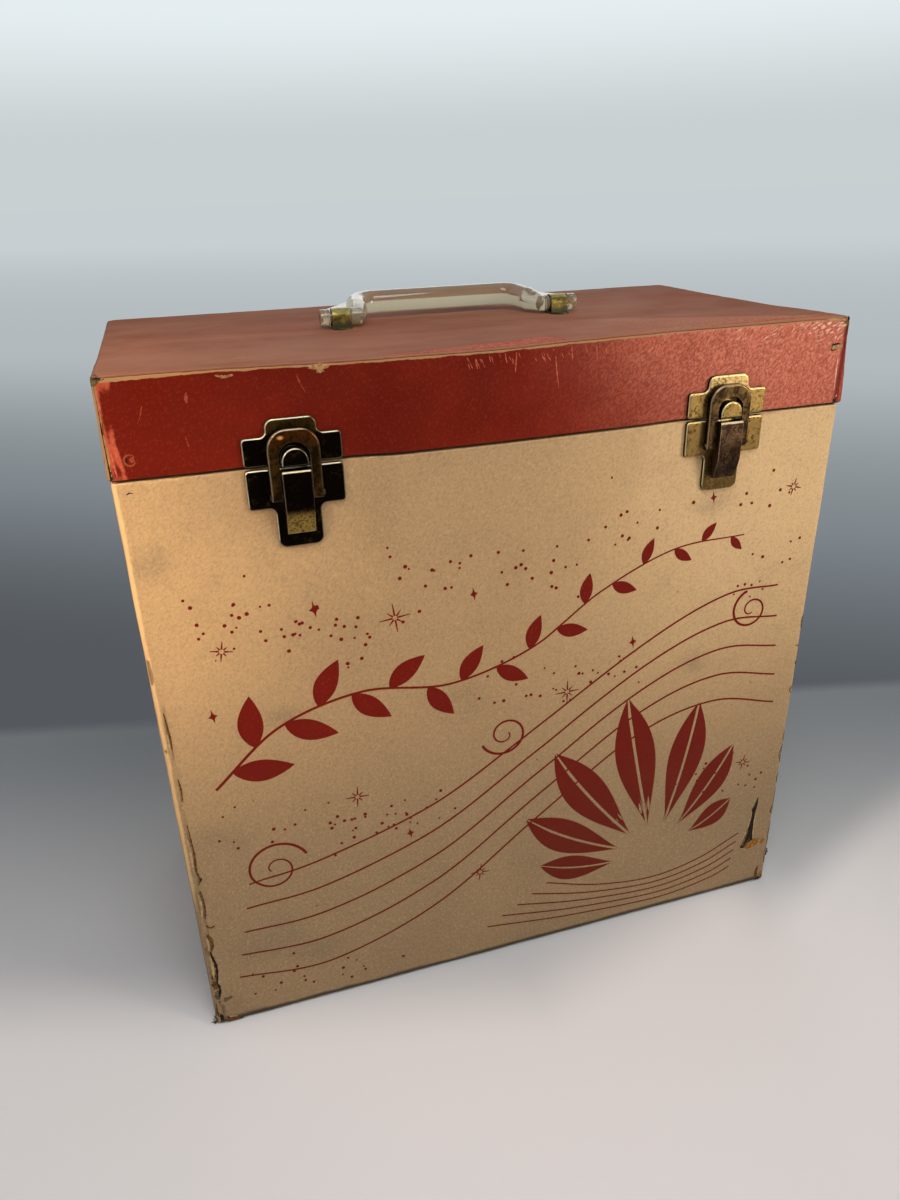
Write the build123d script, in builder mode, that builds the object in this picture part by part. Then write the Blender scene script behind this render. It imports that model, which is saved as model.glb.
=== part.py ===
from build123d import *
from math import cos, radians, sin
import os

# Record carrying case for 12-inch records, in millimetres.
# +Z is up, the front with the latches faces -Y, and the origin is the middle of the face it stands on.

# ---- Case -------------------------------------------------------------------------------------------
case_width = 340.0  # over the covering, along X
case_depth = 180.0  # over the covering, along Y
base_height = 301.6  # floor to the rim of the base
seam_gap = 0.8  # from the rim of the base to the rim of the closed lid
lid_height = 39.6  # rim of the lid to its top
board_thickness = 3.0
cover_thickness = 0.4
lining_thickness = 0.3
sheet_under_thickness = 0.4
corner_radius = 3.0  # upright corners, over the covering
rim_turn_in = 14.0  # covering folded over each rim and down the inside
foot_turn_in = 12.0  # covering folded under the base
under_inset = 3.0  # underside sheet, in from the outline

# ---- Staples at the corners ------------------------------------------------------------------------
wire = 0.6
staple_crown = 10.0
staple_leg = 7.4
staple_sink = 0.1  # crown under the board's face
staple_from_corner = 2.2  # staple line, in from the board's outer face
base_staples = 5  # down each upright corner of the base
lid_staples = 2  # down each upright corner of the lid
staple_margin = 24.0  # base staples, in from the ends of the boards
lid_staple_margin = 10.0

# ---- Hinges ----------------------------------------------------------------------------------------
hinge_spread = 100.0  # each hinge from the middle
leaf_width = 40.0
leaf_height = 19.0  # from the hinge axis to the far edge of a leaf
leaf_thickness = 0.9
leaf_corner = 3.0
knuckle_radius = 2.3
knuckle_gap = 0.25  # between neighbouring knuckles, and from them to the covering
hinge_pin_radius = 1.1
pin_play = 0.05  # radial play of a pin in the piece that turns on it
centre_knuckle = 13.0
rivet_radius = 1.5
rivet_head_radius = 3.0
rivet_head_height = 1.1
rivet_flare_radius = 2.6
rivet_flare_height = 0.7
rivet_play = 0.05
rivet_pitch = 13.0
rivet_from_axis = 11.0

# ---- Draw latches ----------------------------------------------------------------------------------
# Heights of the latch are from the seam's middle line, and depths stand out from the front covering.
latch_left_x = -98.0
latch_right_x = 105.0
latch_sheet = 0.8
pan_depth = 1.8  # front of each plate's raised pan
pan_edge_radius = 0.9
arm_half_width = 20.4
plate_gap = 0.7  # each plate's edge, from the seam's middle line
strike_arm_height = 12.6
strike_tower_height = 19.7
strike_tower_half = 10.5
plate_arm_depth = 17.6
tongue_depth = 35.4
tongue_half = 9.6
plate_corner = 1.6
tower_corner = 3.6
plate_notch = 2.6  # concave corner between an arm and the tower or tongue
catch_half = 5.5
catch_height = 8.2
catch_reach = 6.4
catch_edge = 0.9
loop_half = 10.9
loop_top = 15.9
loop_bottom = -14.2
loop_corner = 8.2
loop_eye_half = 6.5
loop_eye_top = 10.4
loop_back = 2.2
loop_front = 5.0
loop_edge = 1.2
lever_half = 5.9
lever_front = 7.6
lever_back = 2.2
lever_top_back = 3.4  # the flanges' upper end, trimmed to swing clear of the plate
lever_top = -0.9
lever_bend = -19.0  # where the lever's face starts to slope in towards the plate
lever_bottom = -28.4
lever_tip_front = 4.9
lever_tip_back = 3.5
lever_edge = 1.3
lever_pivot_z = -2.9
lever_pivot_out = 5.0
loop_pivot_z = -12.2
loop_pivot_out = 3.4
latch_pin_radius = 0.75
latch_pin_head = 1.15
ear_outer_half = 4.9
ear_radius = 1.5
ear_root_top = -1.2  # the ear's root on the plate, from the lever pivot
ear_root_bottom = -5.0
lever_pin_stand = 0.25  # each end of the lever pin, past the lever
prong_width = 3.0
prong_clinch = 4.0
slot_play = 0.15

# ---- Handle ----------------------------------------------------------------------------------------
grip_radius = 5.6
grip_half = 33.0  # straight part of the grip
grip_reach = 28.5  # from the pivot line to the grip's centre line
grip_bend = 10.0
handle_lift = 6.0  # degrees by which the folded handle rises from the lid
pivot_height = 5.1  # pivot line over the lid
neck_radius = 3.2
neck_play = 0.25  # at each end of the neck, beside the strap's base plate
block_radius = 4.0
block_length = 5.0  # inside the neck
knob_length = 4.3  # outside the neck
arm_share = 0.45  # of the way from the block to the bend, where an arm is as thick as the grip
window_start = 5.2  # web behind the neck, from the pivot line
web_thickness = 4.2
web_end = 20.0
web_overlap = 2.5  # into the bend of the grip
end_recess_depth = 1.2
end_recess_radius = 1.3
end_recess_half = 1.2
strap_spread = 57.5
strap_width = 8.8
strap_sheet = 0.8
strap_play = 0.3  # round the neck
strap_clinch = 4.5
foot_width = 10.6
foot_length = 18.0
foot_sheet = 0.8
backing_width = 14.0
backing_length = 24.0
backing_sheet = 0.8

# ---- Derived places --------------------------------------------------------------------------------
half_width = case_width / 2
half_depth = case_depth / 2
seam_z = base_height + seam_gap / 2
lid_rim_z = base_height + seam_gap
lid_top_z = lid_rim_z + lid_height
board_x = half_width - cover_thickness  # outer face of the side boards
board_y = half_depth - cover_thickness
inner_x = board_x - board_thickness  # inner face of the side boards
inner_y = board_y - board_thickness
board_foot_z = sheet_under_thickness + cover_thickness
floor_z = board_foot_z + board_thickness
base_board_top = base_height - cover_thickness
lid_board_foot = lid_rim_z + cover_thickness
lid_board_top = lid_top_z - cover_thickness
ceiling_z = lid_board_top - board_thickness
board_corner = corner_radius - cover_thickness
hinge_axis_y = half_depth + knuckle_radius + knuckle_gap
outer_knuckle = centre_knuckle / 2 + knuckle_gap  # where the base leaf's knuckles start
rim_stack = cover_thickness + board_thickness + cover_thickness
pivot_z = lid_top_z + pivot_height
neck_start = strap_spread - foot_width / 2 - neck_play
neck_end = strap_spread + foot_width / 2 + neck_play
strap_inner_radius = neck_radius + strap_play
strap_outer_radius = strap_inner_radius + strap_sheet
lid_inside_z = ceiling_z - lining_thickness

os.makedirs("parts", exist_ok=True)


def save(builder, name):
    """Label a finished piece and write it as its own STEP file."""
    builder.part.label = name
    export_step(builder.part, f"parts/{name}.step")


def block(low, high, mode=Mode.ADD):
    """A box given by its lowest and highest corners."""
    size = [b - a for a, b in zip(low, high)]
    middle = [(a + b) / 2 for a, b in zip(low, high)]
    with Locations(tuple(middle)):
        Box(*size, mode=mode)


def rod_x(radius, start, end, y, z, mode=Mode.ADD):
    """A round rod or bore along X."""
    with Locations(((start + end) / 2, y, z)):
        Cylinder(radius, end - start, rotation=(0, 90, 0), mode=mode)


def rod_y(radius, start, end, x, z, mode=Mode.ADD):
    """A round rod or bore along Y."""
    with Locations((x, (start + end) / 2, z)):
        Cylinder(radius, end - start, rotation=(90, 0, 0), mode=mode)


# ---- Places where the hardware goes through the walls ----------------------------------------------
# A prong is (x, z, width along X, height along Z), where it leaves the plate's folded edge.
def strike_prongs(middle_x):
    arm_x = arm_half_width - latch_sheet / 2
    arm_z = seam_z + (plate_gap + strike_arm_height) / 2
    tower_z = seam_z + strike_tower_height - latch_sheet / 2
    arms = [(middle_x + side * arm_x, arm_z, latch_sheet, prong_width) for side in (-1, 1)]
    return arms + [(middle_x, tower_z, prong_width, latch_sheet)]


def plate_prongs(middle_x):
    arm_x = arm_half_width - latch_sheet / 2
    arm_z = seam_z - (plate_gap + plate_arm_depth) / 2
    tongue_z = seam_z - tongue_depth + latch_sheet / 2
    arms = [(middle_x + side * arm_x, arm_z, latch_sheet, prong_width) for side in (-1, 1)]
    return arms + [(middle_x, tongue_z, prong_width, latch_sheet)]


def rivet_places(z):
    """Rivet centres (x, z) of both hinges in one row."""
    return [
        (side * hinge_spread + column * rivet_pitch, z)
        for side in (-1, 1)
        for column in (-1, 0, 1)
    ]


base_rivets = rivet_places(seam_z - rivet_from_axis)
lid_rivets = rivet_places(seam_z + rivet_from_axis)


def staple_places(low_z, high_z, count):
    """Staple centres (x, side of Y, z) on the front and back boards' corners."""
    step = (high_z - low_z) / (count - 1)
    x = board_x - staple_from_corner
    return [
        (side * x, face, low_z + row * step)
        for side in (-1, 1)
        for face in (-1, 1)
        for row in range(count)
    ]


base_staple_places = staple_places(
    board_foot_z + staple_margin, base_board_top - staple_margin, base_staples
)
lid_staple_places = staple_places(
    lid_board_foot + lid_staple_margin, ceiling_z - lid_staple_margin, lid_staples
)


def staple(x, face, z, mode=Mode.ADD):
    """One U of wire, its crown flush in the board's outer face."""
    outer = board_y - staple_sink
    half = staple_crown / 2
    y_span = sorted((face * outer, face * (outer - wire)))
    leg_span = sorted((face * (outer - wire), face * (outer - wire - staple_leg)))
    block((x - wire / 2, y_span[0], z - half), (x + wire / 2, y_span[1], z + half), mode)
    for end in (-1, 1):
        middle = z + end * (half - wire / 2)
        low = (x - wire / 2, leg_span[0], middle - wire / 2)
        high = (x + wire / 2, leg_span[1], middle + wire / 2)
        block(low, high, mode)


def cut_prong_slots(prongs):
    """Slots for a latch plate's prongs, through the front wall."""
    for x, z, width, height in prongs:
        half_x = width / 2 + slot_play
        half_z = height / 2 + slot_play
        low = (x - half_x, -half_depth - 1, z - half_z)
        block(low, (x + half_x, -inner_y + 1, z + half_z), Mode.SUBTRACT)


def cut_rivet_holes(rivets):
    for x, z in rivets:
        rod_y(rivet_radius + rivet_play, inner_y - 1, half_depth + 1, x, z, Mode.SUBTRACT)


def cut_strap_slots():
    """Slots for the handle straps' legs, through the top of the lid."""
    half_x = strap_width / 2 + slot_play
    for side in (-1, 1):
        for leg in (-1, 1):
            middle_y = leg * (strap_inner_radius + strap_sheet / 2)
            half_y = strap_sheet / 2 + slot_play
            x = side * strap_spread
            low = (x - half_x, middle_y - half_y, ceiling_z - lining_thickness - 1)
            block(low, (x + half_x, middle_y + half_y, lid_top_z + 1), Mode.SUBTRACT)


# ---- Boards ----------------------------------------------------------------------------------------
def long_board(name, face, low_z, high_z, prongs, rivets, staples):
    """Front or back board, the full width, with rounded upright corners."""
    y_span = sorted((face * board_y, face * inner_y))
    with BuildPart() as board:
        block((-board_x, y_span[0], low_z), (board_x, y_span[1], high_z))
        corners = board.edges().filter_by(Axis.Z).group_by(Axis.Y)[-1 if face > 0 else 0]
        fillet(corners, board_corner)
        cut_prong_slots(prongs)
        cut_rivet_holes(rivets)
        for x, side, z in staples:
            if side == face:
                staple(x, side, z, Mode.SUBTRACT)
    save(board, name)


def side_board(name, side, low_z, high_z, staples):
    """Left or right board, between the long boards."""
    x_span = sorted((side * board_x, side * inner_x))
    with BuildPart() as board:
        block((x_span[0], -inner_y, low_z), (x_span[1], inner_y, high_z))
        for x, face, z in staples:
            if x * side > 0:
                staple(x, face, z, Mode.SUBTRACT)
    save(board, name)


latch_xs = {"left": latch_left_x, "right": latch_right_x}
all_plate_prongs = [p for x in latch_xs.values() for p in plate_prongs(x)]
all_strike_prongs = [p for x in latch_xs.values() for p in strike_prongs(x)]

long_board(
    "base_front_board", -1, board_foot_z, base_board_top, all_plate_prongs, [], base_staple_places
)
long_board(
    "base_back_board", 1, board_foot_z, base_board_top, [], base_rivets, base_staple_places
)
side_board("base_left_board", -1, board_foot_z, base_board_top, base_staple_places)
side_board("base_right_board", 1, board_foot_z, base_board_top, base_staple_places)

with BuildPart() as base_bottom_board:
    block((-inner_x, -inner_y, board_foot_z), (inner_x, inner_y, floor_z))
save(base_bottom_board, "base_bottom_board")

long_board(
    "lid_front_board", -1, lid_board_foot, ceiling_z, all_strike_prongs, [], lid_staple_places
)
long_board("lid_back_board", 1, lid_board_foot, ceiling_z, [], lid_rivets, lid_staple_places)
side_board("lid_left_board", -1, lid_board_foot, ceiling_z, lid_staple_places)
side_board("lid_right_board", 1, lid_board_foot, ceiling_z, lid_staple_places)

with BuildPart() as lid_top_board:
    block((-board_x, -board_y, ceiling_z), (board_x, board_y, lid_board_top))
    fillet(lid_top_board.edges().filter_by(Axis.Z), board_corner)
    cut_strap_slots()
save(lid_top_board, "lid_top_board")

for body, places in (("base", base_staple_places), ("lid", lid_staple_places)):
    with BuildPart() as corner_staples:
        for x, face, z in places:
            staple(x, face, z)
    save(corner_staples, f"{body}_corner_staples")


# ---- Coverings and linings -------------------------------------------------------------------------
def outline(low_z, high_z, inset, mode=Mode.ADD):
    """The case's outline with rounded corners, less an inset, between two heights."""
    with BuildSketch(Plane.XY.offset(low_z)) as shape:
        width = case_width - 2 * inset
        depth = case_depth - 2 * inset
        RectangleRounded(width, depth, max(corner_radius - inset, 0.2))
    extrude(shape.sketch, amount=high_z - low_z, mode=mode)


def bay(low_z, high_z, clearance=0.0, mode=Mode.SUBTRACT):
    """The space between the boards, less a clearance all round."""
    x = inner_x - clearance
    y = inner_y - clearance
    block((-x, -y, low_z), (x, y, high_z), mode)


with BuildPart() as base_covering:
    outline(sheet_under_thickness, base_height, 0)
    outline(board_foot_z, base_board_top - rim_turn_in, cover_thickness, Mode.SUBTRACT)
    x_fold = half_width - foot_turn_in
    y_fold = half_depth - foot_turn_in
    block((-x_fold, -y_fold, 0), (x_fold, y_fold, board_foot_z + 1), Mode.SUBTRACT)
    outline(base_board_top - rim_turn_in, base_board_top, cover_thickness, Mode.SUBTRACT)
    bay(base_board_top - rim_turn_in, base_board_top, 0, Mode.ADD)
    bay(base_board_top - rim_turn_in - 1, base_height + 1, cover_thickness)
    cut_prong_slots(all_plate_prongs)
    cut_rivet_holes(base_rivets)
save(base_covering, "base_covering")

with BuildPart() as base_underside_sheet:
    outline(0, sheet_under_thickness, under_inset)
save(base_underside_sheet, "base_underside_sheet")

with BuildPart() as base_lining:
    lining_top = base_board_top - rim_turn_in
    bay(floor_z, lining_top, 0, Mode.ADD)
    bay(floor_z + lining_thickness, lining_top + 1, lining_thickness)
    cut_prong_slots(all_plate_prongs)
save(base_lining, "base_lining")

with BuildPart() as lid_covering:
    outline(lid_rim_z, lid_top_z, 0)
    outline(lid_board_foot, lid_board_top, cover_thickness, Mode.SUBTRACT)
    bay(lid_rim_z - 1, lid_board_foot)
    bay(lid_rim_z, lid_board_foot + rim_turn_in, 0, Mode.ADD)
    bay(lid_rim_z - 1, lid_board_foot + rim_turn_in + 1, cover_thickness)
    cut_prong_slots(all_strike_prongs)
    cut_rivet_holes(lid_rivets)
    cut_strap_slots()
save(lid_covering, "lid_covering")

with BuildPart() as lid_lining:
    bay(lid_board_foot + rim_turn_in, ceiling_z, 0, Mode.ADD)
    bay(lid_board_foot + rim_turn_in - 1, ceiling_z - lining_thickness, lining_thickness)
    cut_prong_slots(all_strike_prongs)
    cut_strap_slots()
save(lid_lining, "lid_lining")


# ---- Hinges ----------------------------------------------------------------------------------------
def hinge_leaf(name, middle_x, up, knuckles, bore_radius):
    """A leaf flat on the back wall, rolled into knuckles round the hinge axis.

    up is 1 for the lid's leaf and -1 for the base's. knuckles are spans along X from the hinge's middle.
    """
    far_z = seam_z + up * leaf_height
    near_z = seam_z + up * knuckle_gap
    low_z, high_z = sorted((far_z, near_z))
    with BuildPart() as leaf:
        block(
            (middle_x - leaf_width / 2, half_depth, low_z),
            (middle_x + leaf_width / 2, half_depth + leaf_thickness, high_z),
        )
        ends = leaf.edges().filter_by(Axis.Y).group_by(Axis.Z)[-1 if up > 0 else 0]
        fillet(ends, leaf_corner)
        spans = [(middle_x + a, middle_x + b) for a, b in knuckles]
        for start, end in spans:
            rod_x(knuckle_radius, start, end, hinge_axis_y, seam_z)
            rod_x(bore_radius, start - 1, end + 1, hinge_axis_y, seam_z, Mode.SUBTRACT)
        clear = knuckle_radius + knuckle_gap
        past = leaf_width / 2 + 1
        if up > 0:
            gaps = [(-past, -centre_knuckle / 2), (centre_knuckle / 2, past)]
        else:
            gaps = [(-outer_knuckle, outer_knuckle)]
        for start, end in gaps:
            low = (middle_x + start, half_depth - 1, seam_z - clear)
            block(low, (middle_x + end, hinge_axis_y + clear, seam_z + clear), Mode.SUBTRACT)
        for column in (-1, 0, 1):
            x = middle_x + column * rivet_pitch
            z = seam_z + up * rivet_from_axis
            radius = rivet_radius + rivet_play
            rod_y(radius, half_depth - 1, half_depth + leaf_thickness + 1, x, z, Mode.SUBTRACT)
    save(leaf, name)


def rivets(name, places):
    """Tubular rivets: a domed head on the leaf, a shank through the wall and a flare inside."""
    head_face = half_depth + leaf_thickness
    inside = inner_y - cover_thickness
    flare = inside - rivet_flare_height
    with BuildPart() as group:
        for x, z in places:
            with BuildSketch(Plane((x, 0, z), x_dir=(1, 0, 0), z_dir=(0, 0, 1))) as profile:
                with BuildLine():
                    Polyline(
                        (0, head_face + rivet_head_height),
                        (0, flare),
                        (rivet_flare_radius, flare),
                        (rivet_flare_radius, inside),
                        (rivet_radius, inside),
                        (rivet_radius, head_face),
                        (rivet_head_radius, head_face),
                    )
                    RadiusArc(
                        (rivet_head_radius, head_face),
                        (0, head_face + rivet_head_height),
                        -(rivet_head_radius**2 + rivet_head_height**2) / (2 * rivet_head_height),
                    )
                make_face()
            revolve(profile.sketch, axis=Axis((x, 0, z), (0, 1, 0)))
    save(group, name)


for side, middle_x in (("left", -hinge_spread), ("right", hinge_spread)):
    outer = [(-leaf_width / 2, -outer_knuckle), (outer_knuckle, leaf_width / 2)]
    inner = [(-centre_knuckle / 2, centre_knuckle / 2)]
    hinge_leaf(f"hinge_base_leaf_{side}", middle_x, -1, outer, hinge_pin_radius)
    hinge_leaf(f"hinge_lid_leaf_{side}", middle_x, 1, inner, hinge_pin_radius + pin_play)
    with BuildPart() as hinge_pin:
        start = middle_x - leaf_width / 2
        rod_x(hinge_pin_radius, start, start + leaf_width, hinge_axis_y, seam_z)
    save(hinge_pin, f"hinge_pin_{side}")

rivets("hinge_base_rivets", base_rivets)
rivets("hinge_lid_rivets", lid_rivets)


# ---- Latches ---------------------------------------------------------------------------------------
def front_plane(middle_x):
    """Sketch plane on the front covering: x along X, y up from the seam's middle, normal outwards."""
    return Plane((middle_x, -half_depth, seam_z), x_dir=(1, 0, 0), z_dir=(0, -1, 0))


def side_plane(x):
    """Sketch plane across the latch: x outwards from the front covering, y up from the seam."""
    return Plane((x, -half_depth, seam_z), x_dir=(0, -1, 0), z_dir=(-1, 0, 0))


def cross_points(stem_half, stem_end, arm_end):
    """Corners of a plate: two arms along the seam and a stem away from it, from the seam outwards."""
    way = 1 if stem_end > 0 else -1
    start = way * plate_gap
    right = [
        (arm_half_width, start),
        (arm_half_width, arm_end),
        (stem_half, arm_end),
        (stem_half, stem_end),
    ]
    left = [(-x, y) for x, y in reversed(right)]
    return right + left


def plate_sketch(stem_half, stem_end, arm_end, stem_corner, inset):
    """The plate's outline, or the same outline brought in by an inset."""
    points = cross_points(stem_half, stem_end, arm_end)
    with BuildSketch(mode=Mode.PRIVATE) as shape:
        with BuildLine():
            Polyline(*points, close=True)
        make_face()
        at_arms = [v for v in shape.vertices() if abs(abs(v.X) - arm_half_width) < 0.01]
        fillet(at_arms, plate_corner)
        at_end = [v for v in shape.vertices() if abs(v.Y - stem_end) < 0.01]
        fillet(at_end, stem_corner)
        notch = [
            v
            for v in shape.vertices()
            if abs(abs(v.X) - stem_half) < 0.01 and abs(v.Y - arm_end) < 0.01
        ]
        fillet(notch, plate_notch)
        if inset:
            offset(amount=-inset, kind=Kind.INTERSECTION)
    return shape.sketch


def latch_plate(name, middle_x, stem_half, stem_end, arm_end, stem_corner, prongs, stack, extra):
    """A raised pan of thin sheet with prongs clinched inside the wall; extra adds the plate's own parts."""
    plane = front_plane(middle_x)
    with BuildPart() as plate:
        with BuildSketch(plane):
            add(plate_sketch(stem_half, stem_end, arm_end, stem_corner, 0))
        extrude(amount=pan_depth)
        front = plate.faces().sort_by(Axis.Y)[0]
        fillet(front.edges(), pan_edge_radius)
        extra(plate, plane, middle_x)
        with BuildSketch(plane):
            add(plate_sketch(stem_half, stem_end, arm_end, stem_corner, latch_sheet))
        extrude(amount=pan_depth - latch_sheet, mode=Mode.SUBTRACT)
        for x, z, width, height in prongs:
            inside = -half_depth + stack
            low = (x - width / 2, -half_depth, z - height / 2)
            block(low, (x + width / 2, inside + latch_sheet, z + height / 2))
            if width < height:
                way = 1 if x < middle_x else -1
                x_span = sorted((x - way * width / 2, x + way * prong_clinch))
                z_span = (z - height / 2, z + height / 2)
            else:
                way = -1 if stem_end > 0 else 1
                x_span = (x - width / 2, x + width / 2)
                z_span = sorted((z - way * height / 2, z + way * prong_clinch))
            low = (x_span[0], inside, z_span[0])
            block(low, (x_span[1], inside + latch_sheet, z_span[1]))
    save(plate, name)


def catch(plate, plane, middle_x):
    """Half-round catch pressed out of the strike plate, hollow behind."""
    arch = catch_height - catch_half
    for grow, start, end, mode in (
        (0, pan_depth - latch_sheet, catch_reach, Mode.ADD),
        (latch_sheet, 0, catch_reach - latch_sheet, Mode.SUBTRACT),
    ):
        half = catch_half - grow
        foot = plate_gap + grow
        with BuildSketch(plane.offset(start)) as shape:
            with BuildLine():
                Line((-half, foot), (half, foot))
                Line((half, foot), (half, arch))
                ThreePointArc((half, arch), (0, arch + half), (-half, arch))
                Line((-half, arch), (-half, foot))
            make_face()
        extrude(shape.sketch, amount=end - start, mode=mode)
        if mode == Mode.ADD:
            face = plate.faces().sort_by(Axis.Y)[0]
            fillet(face.edges(), catch_edge)


def ears(plate, plane, middle_x):
    """Two ears folded out of the base plate, with the lever pin's bores."""
    root = pan_depth - latch_sheet
    for side in (-1, 1):
        middle = middle_x + side * (ear_outer_half - latch_sheet / 2)
        with BuildSketch(side_plane(middle)) as shape:
            with Locations((lever_pivot_out, lever_pivot_z)):
                Circle(ear_radius)
            with BuildLine():
                Polyline(
                    (root, lever_pivot_z + ear_root_top),
                    (lever_pivot_out, lever_pivot_z + ear_radius),
                    (lever_pivot_out + ear_radius, lever_pivot_z),
                    (lever_pivot_out, lever_pivot_z - ear_radius),
                    (root, lever_pivot_z + ear_root_bottom),
                    close=True,
                )
            make_face()
            with Locations((lever_pivot_out, lever_pivot_z)):
                Circle(latch_pin_radius, mode=Mode.SUBTRACT)
        extrude(shape.sketch, amount=latch_sheet / 2, both=True)


def latch_lever(name, middle_x):
    """A channel of thin sheet: flat face, side flanges, and a tip that slopes in to the plate."""
    with BuildPart() as lever:
        with BuildSketch(side_plane(middle_x)) as profile:
            with BuildLine():
                Polyline(
                    (lever_top_back, lever_top),
                    (lever_front, lever_top),
                    (lever_front, lever_bend),
                    (lever_tip_front, lever_bottom),
                    (lever_tip_back, lever_bottom),
                    (lever_back, lever_bend - 2),
                    (lever_back, lever_pivot_z - 1),
                    close=True,
                )
            make_face()
            crown = [v for v in profile.vertices() if v.X > lever_front - 0.1]
            fillet(crown, lever_edge)
        extrude(amount=lever_half, both=True)
        with BuildSketch(side_plane(middle_x)):
            with BuildLine():
                Polyline(
                    (0, lever_top + 1),
                    (lever_front - latch_sheet, lever_top + 1),
                    (lever_front - latch_sheet, lever_bend),
                    (lever_tip_front - latch_sheet, lever_bottom + latch_sheet),
                    (0, lever_bottom + latch_sheet),
                    close=True,
                )
            make_face()
        extrude(amount=lever_half - latch_sheet, both=True, mode=Mode.SUBTRACT)
        with BuildSketch(side_plane(middle_x)):
            with Locations((lever_pivot_out, lever_pivot_z)):
                Circle(latch_pin_radius + pin_play)
            with Locations((loop_pivot_out, loop_pivot_z)):
                Circle(latch_pin_radius)
        extrude(amount=lever_half + 1, both=True, mode=Mode.SUBTRACT)
    save(lever, name)


def loop_sketch(half, top, bottom, corner):
    """An arch: straight sides, an open foot and a rounded top."""
    with BuildSketch(mode=Mode.PRIVATE) as shape:
        with BuildLine():
            Polyline((-half, bottom), (half, bottom), (half, top), (-half, top), close=True)
        make_face()
        crown = [v for v in shape.vertices() if v.Y > top - 0.01]
        fillet(crown, corner)
    return shape.sketch


def latch_loop(name, middle_x):
    """The hoop that draws the catch down: a bowed face with its outer edge turned back."""
    plane = front_plane(middle_x)
    with BuildPart() as loop:
        with BuildSketch(plane.offset(loop_back)):
            add(loop_sketch(loop_half, loop_top, loop_bottom, loop_corner))
        extrude(amount=loop_front - loop_back)
        face = loop.faces().sort_by(Axis.Y)[0]
        fillet(face.edges(), loop_edge)
        inner_half = loop_half - latch_sheet
        inner_top = loop_top - latch_sheet
        with BuildSketch(plane.offset(loop_back)):
            add(loop_sketch(inner_half, inner_top, loop_bottom - 1, loop_corner - latch_sheet))
        extrude(amount=loop_front - latch_sheet - loop_back, mode=Mode.SUBTRACT)
        with BuildSketch(plane):
            eye_corner = loop_eye_half - 0.05
            add(loop_sketch(loop_eye_half, loop_eye_top, loop_bottom - 1, eye_corner))
        extrude(amount=loop_front + 1, mode=Mode.SUBTRACT)
        bore = latch_pin_radius + pin_play
        y = -half_depth - loop_pivot_out
        z = seam_z + loop_pivot_z
        rod_x(bore, middle_x - loop_half - 1, middle_x + loop_half + 1, y, z, Mode.SUBTRACT)
    save(loop, name)


for side, middle_x in latch_xs.items():
    latch_plate(
        f"latch_strike_plate_{side}", middle_x, strike_tower_half, strike_tower_height,
        strike_arm_height, tower_corner, strike_prongs(middle_x), rim_stack, catch,
    )
    latch_plate(
        f"latch_base_plate_{side}", middle_x, tongue_half, -tongue_depth,
        -plate_arm_depth, tower_corner, plate_prongs(middle_x), rim_stack, ears,
    )
    latch_lever(f"latch_lever_{side}", middle_x)
    latch_loop(f"latch_loop_{side}", middle_x)
    with BuildPart() as lever_pin:
        reach = lever_half + lever_pin_stand
        y = -half_depth - lever_pivot_out
        z = seam_z + lever_pivot_z
        rod_x(latch_pin_radius, middle_x - reach, middle_x + reach, y, z)
    save(lever_pin, f"latch_lever_pin_{side}")
    with BuildPart() as loop_pin:
        reach = loop_half + pin_play
        y = -half_depth - loop_pivot_out
        z = seam_z + loop_pivot_z
        rod_x(latch_pin_radius, middle_x - reach, middle_x + reach, y, z)
        for end in (-1, 1):
            start, stop = sorted((middle_x + end * reach, middle_x + end * (reach + 0.4)))
            rod_x(latch_pin_head, start, stop, y, z)
    save(loop_pin, f"latch_loop_pin_{side}")


# ---- Handle ----------------------------------------------------------------------------------------
# The handle lies folded back. Its own plane holds the pivot line and the grip, and rises by handle_lift.
lift = radians(handle_lift)
handle_plane = Plane((0, 0, pivot_z), x_dir=(1, 0, 0), z_dir=(0, -sin(lift), cos(lift)))


def handle_point(x, reach):
    """A point of the handle's own plane in the case's frame."""
    return (x, reach * cos(lift), pivot_z + reach * sin(lift))


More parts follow.
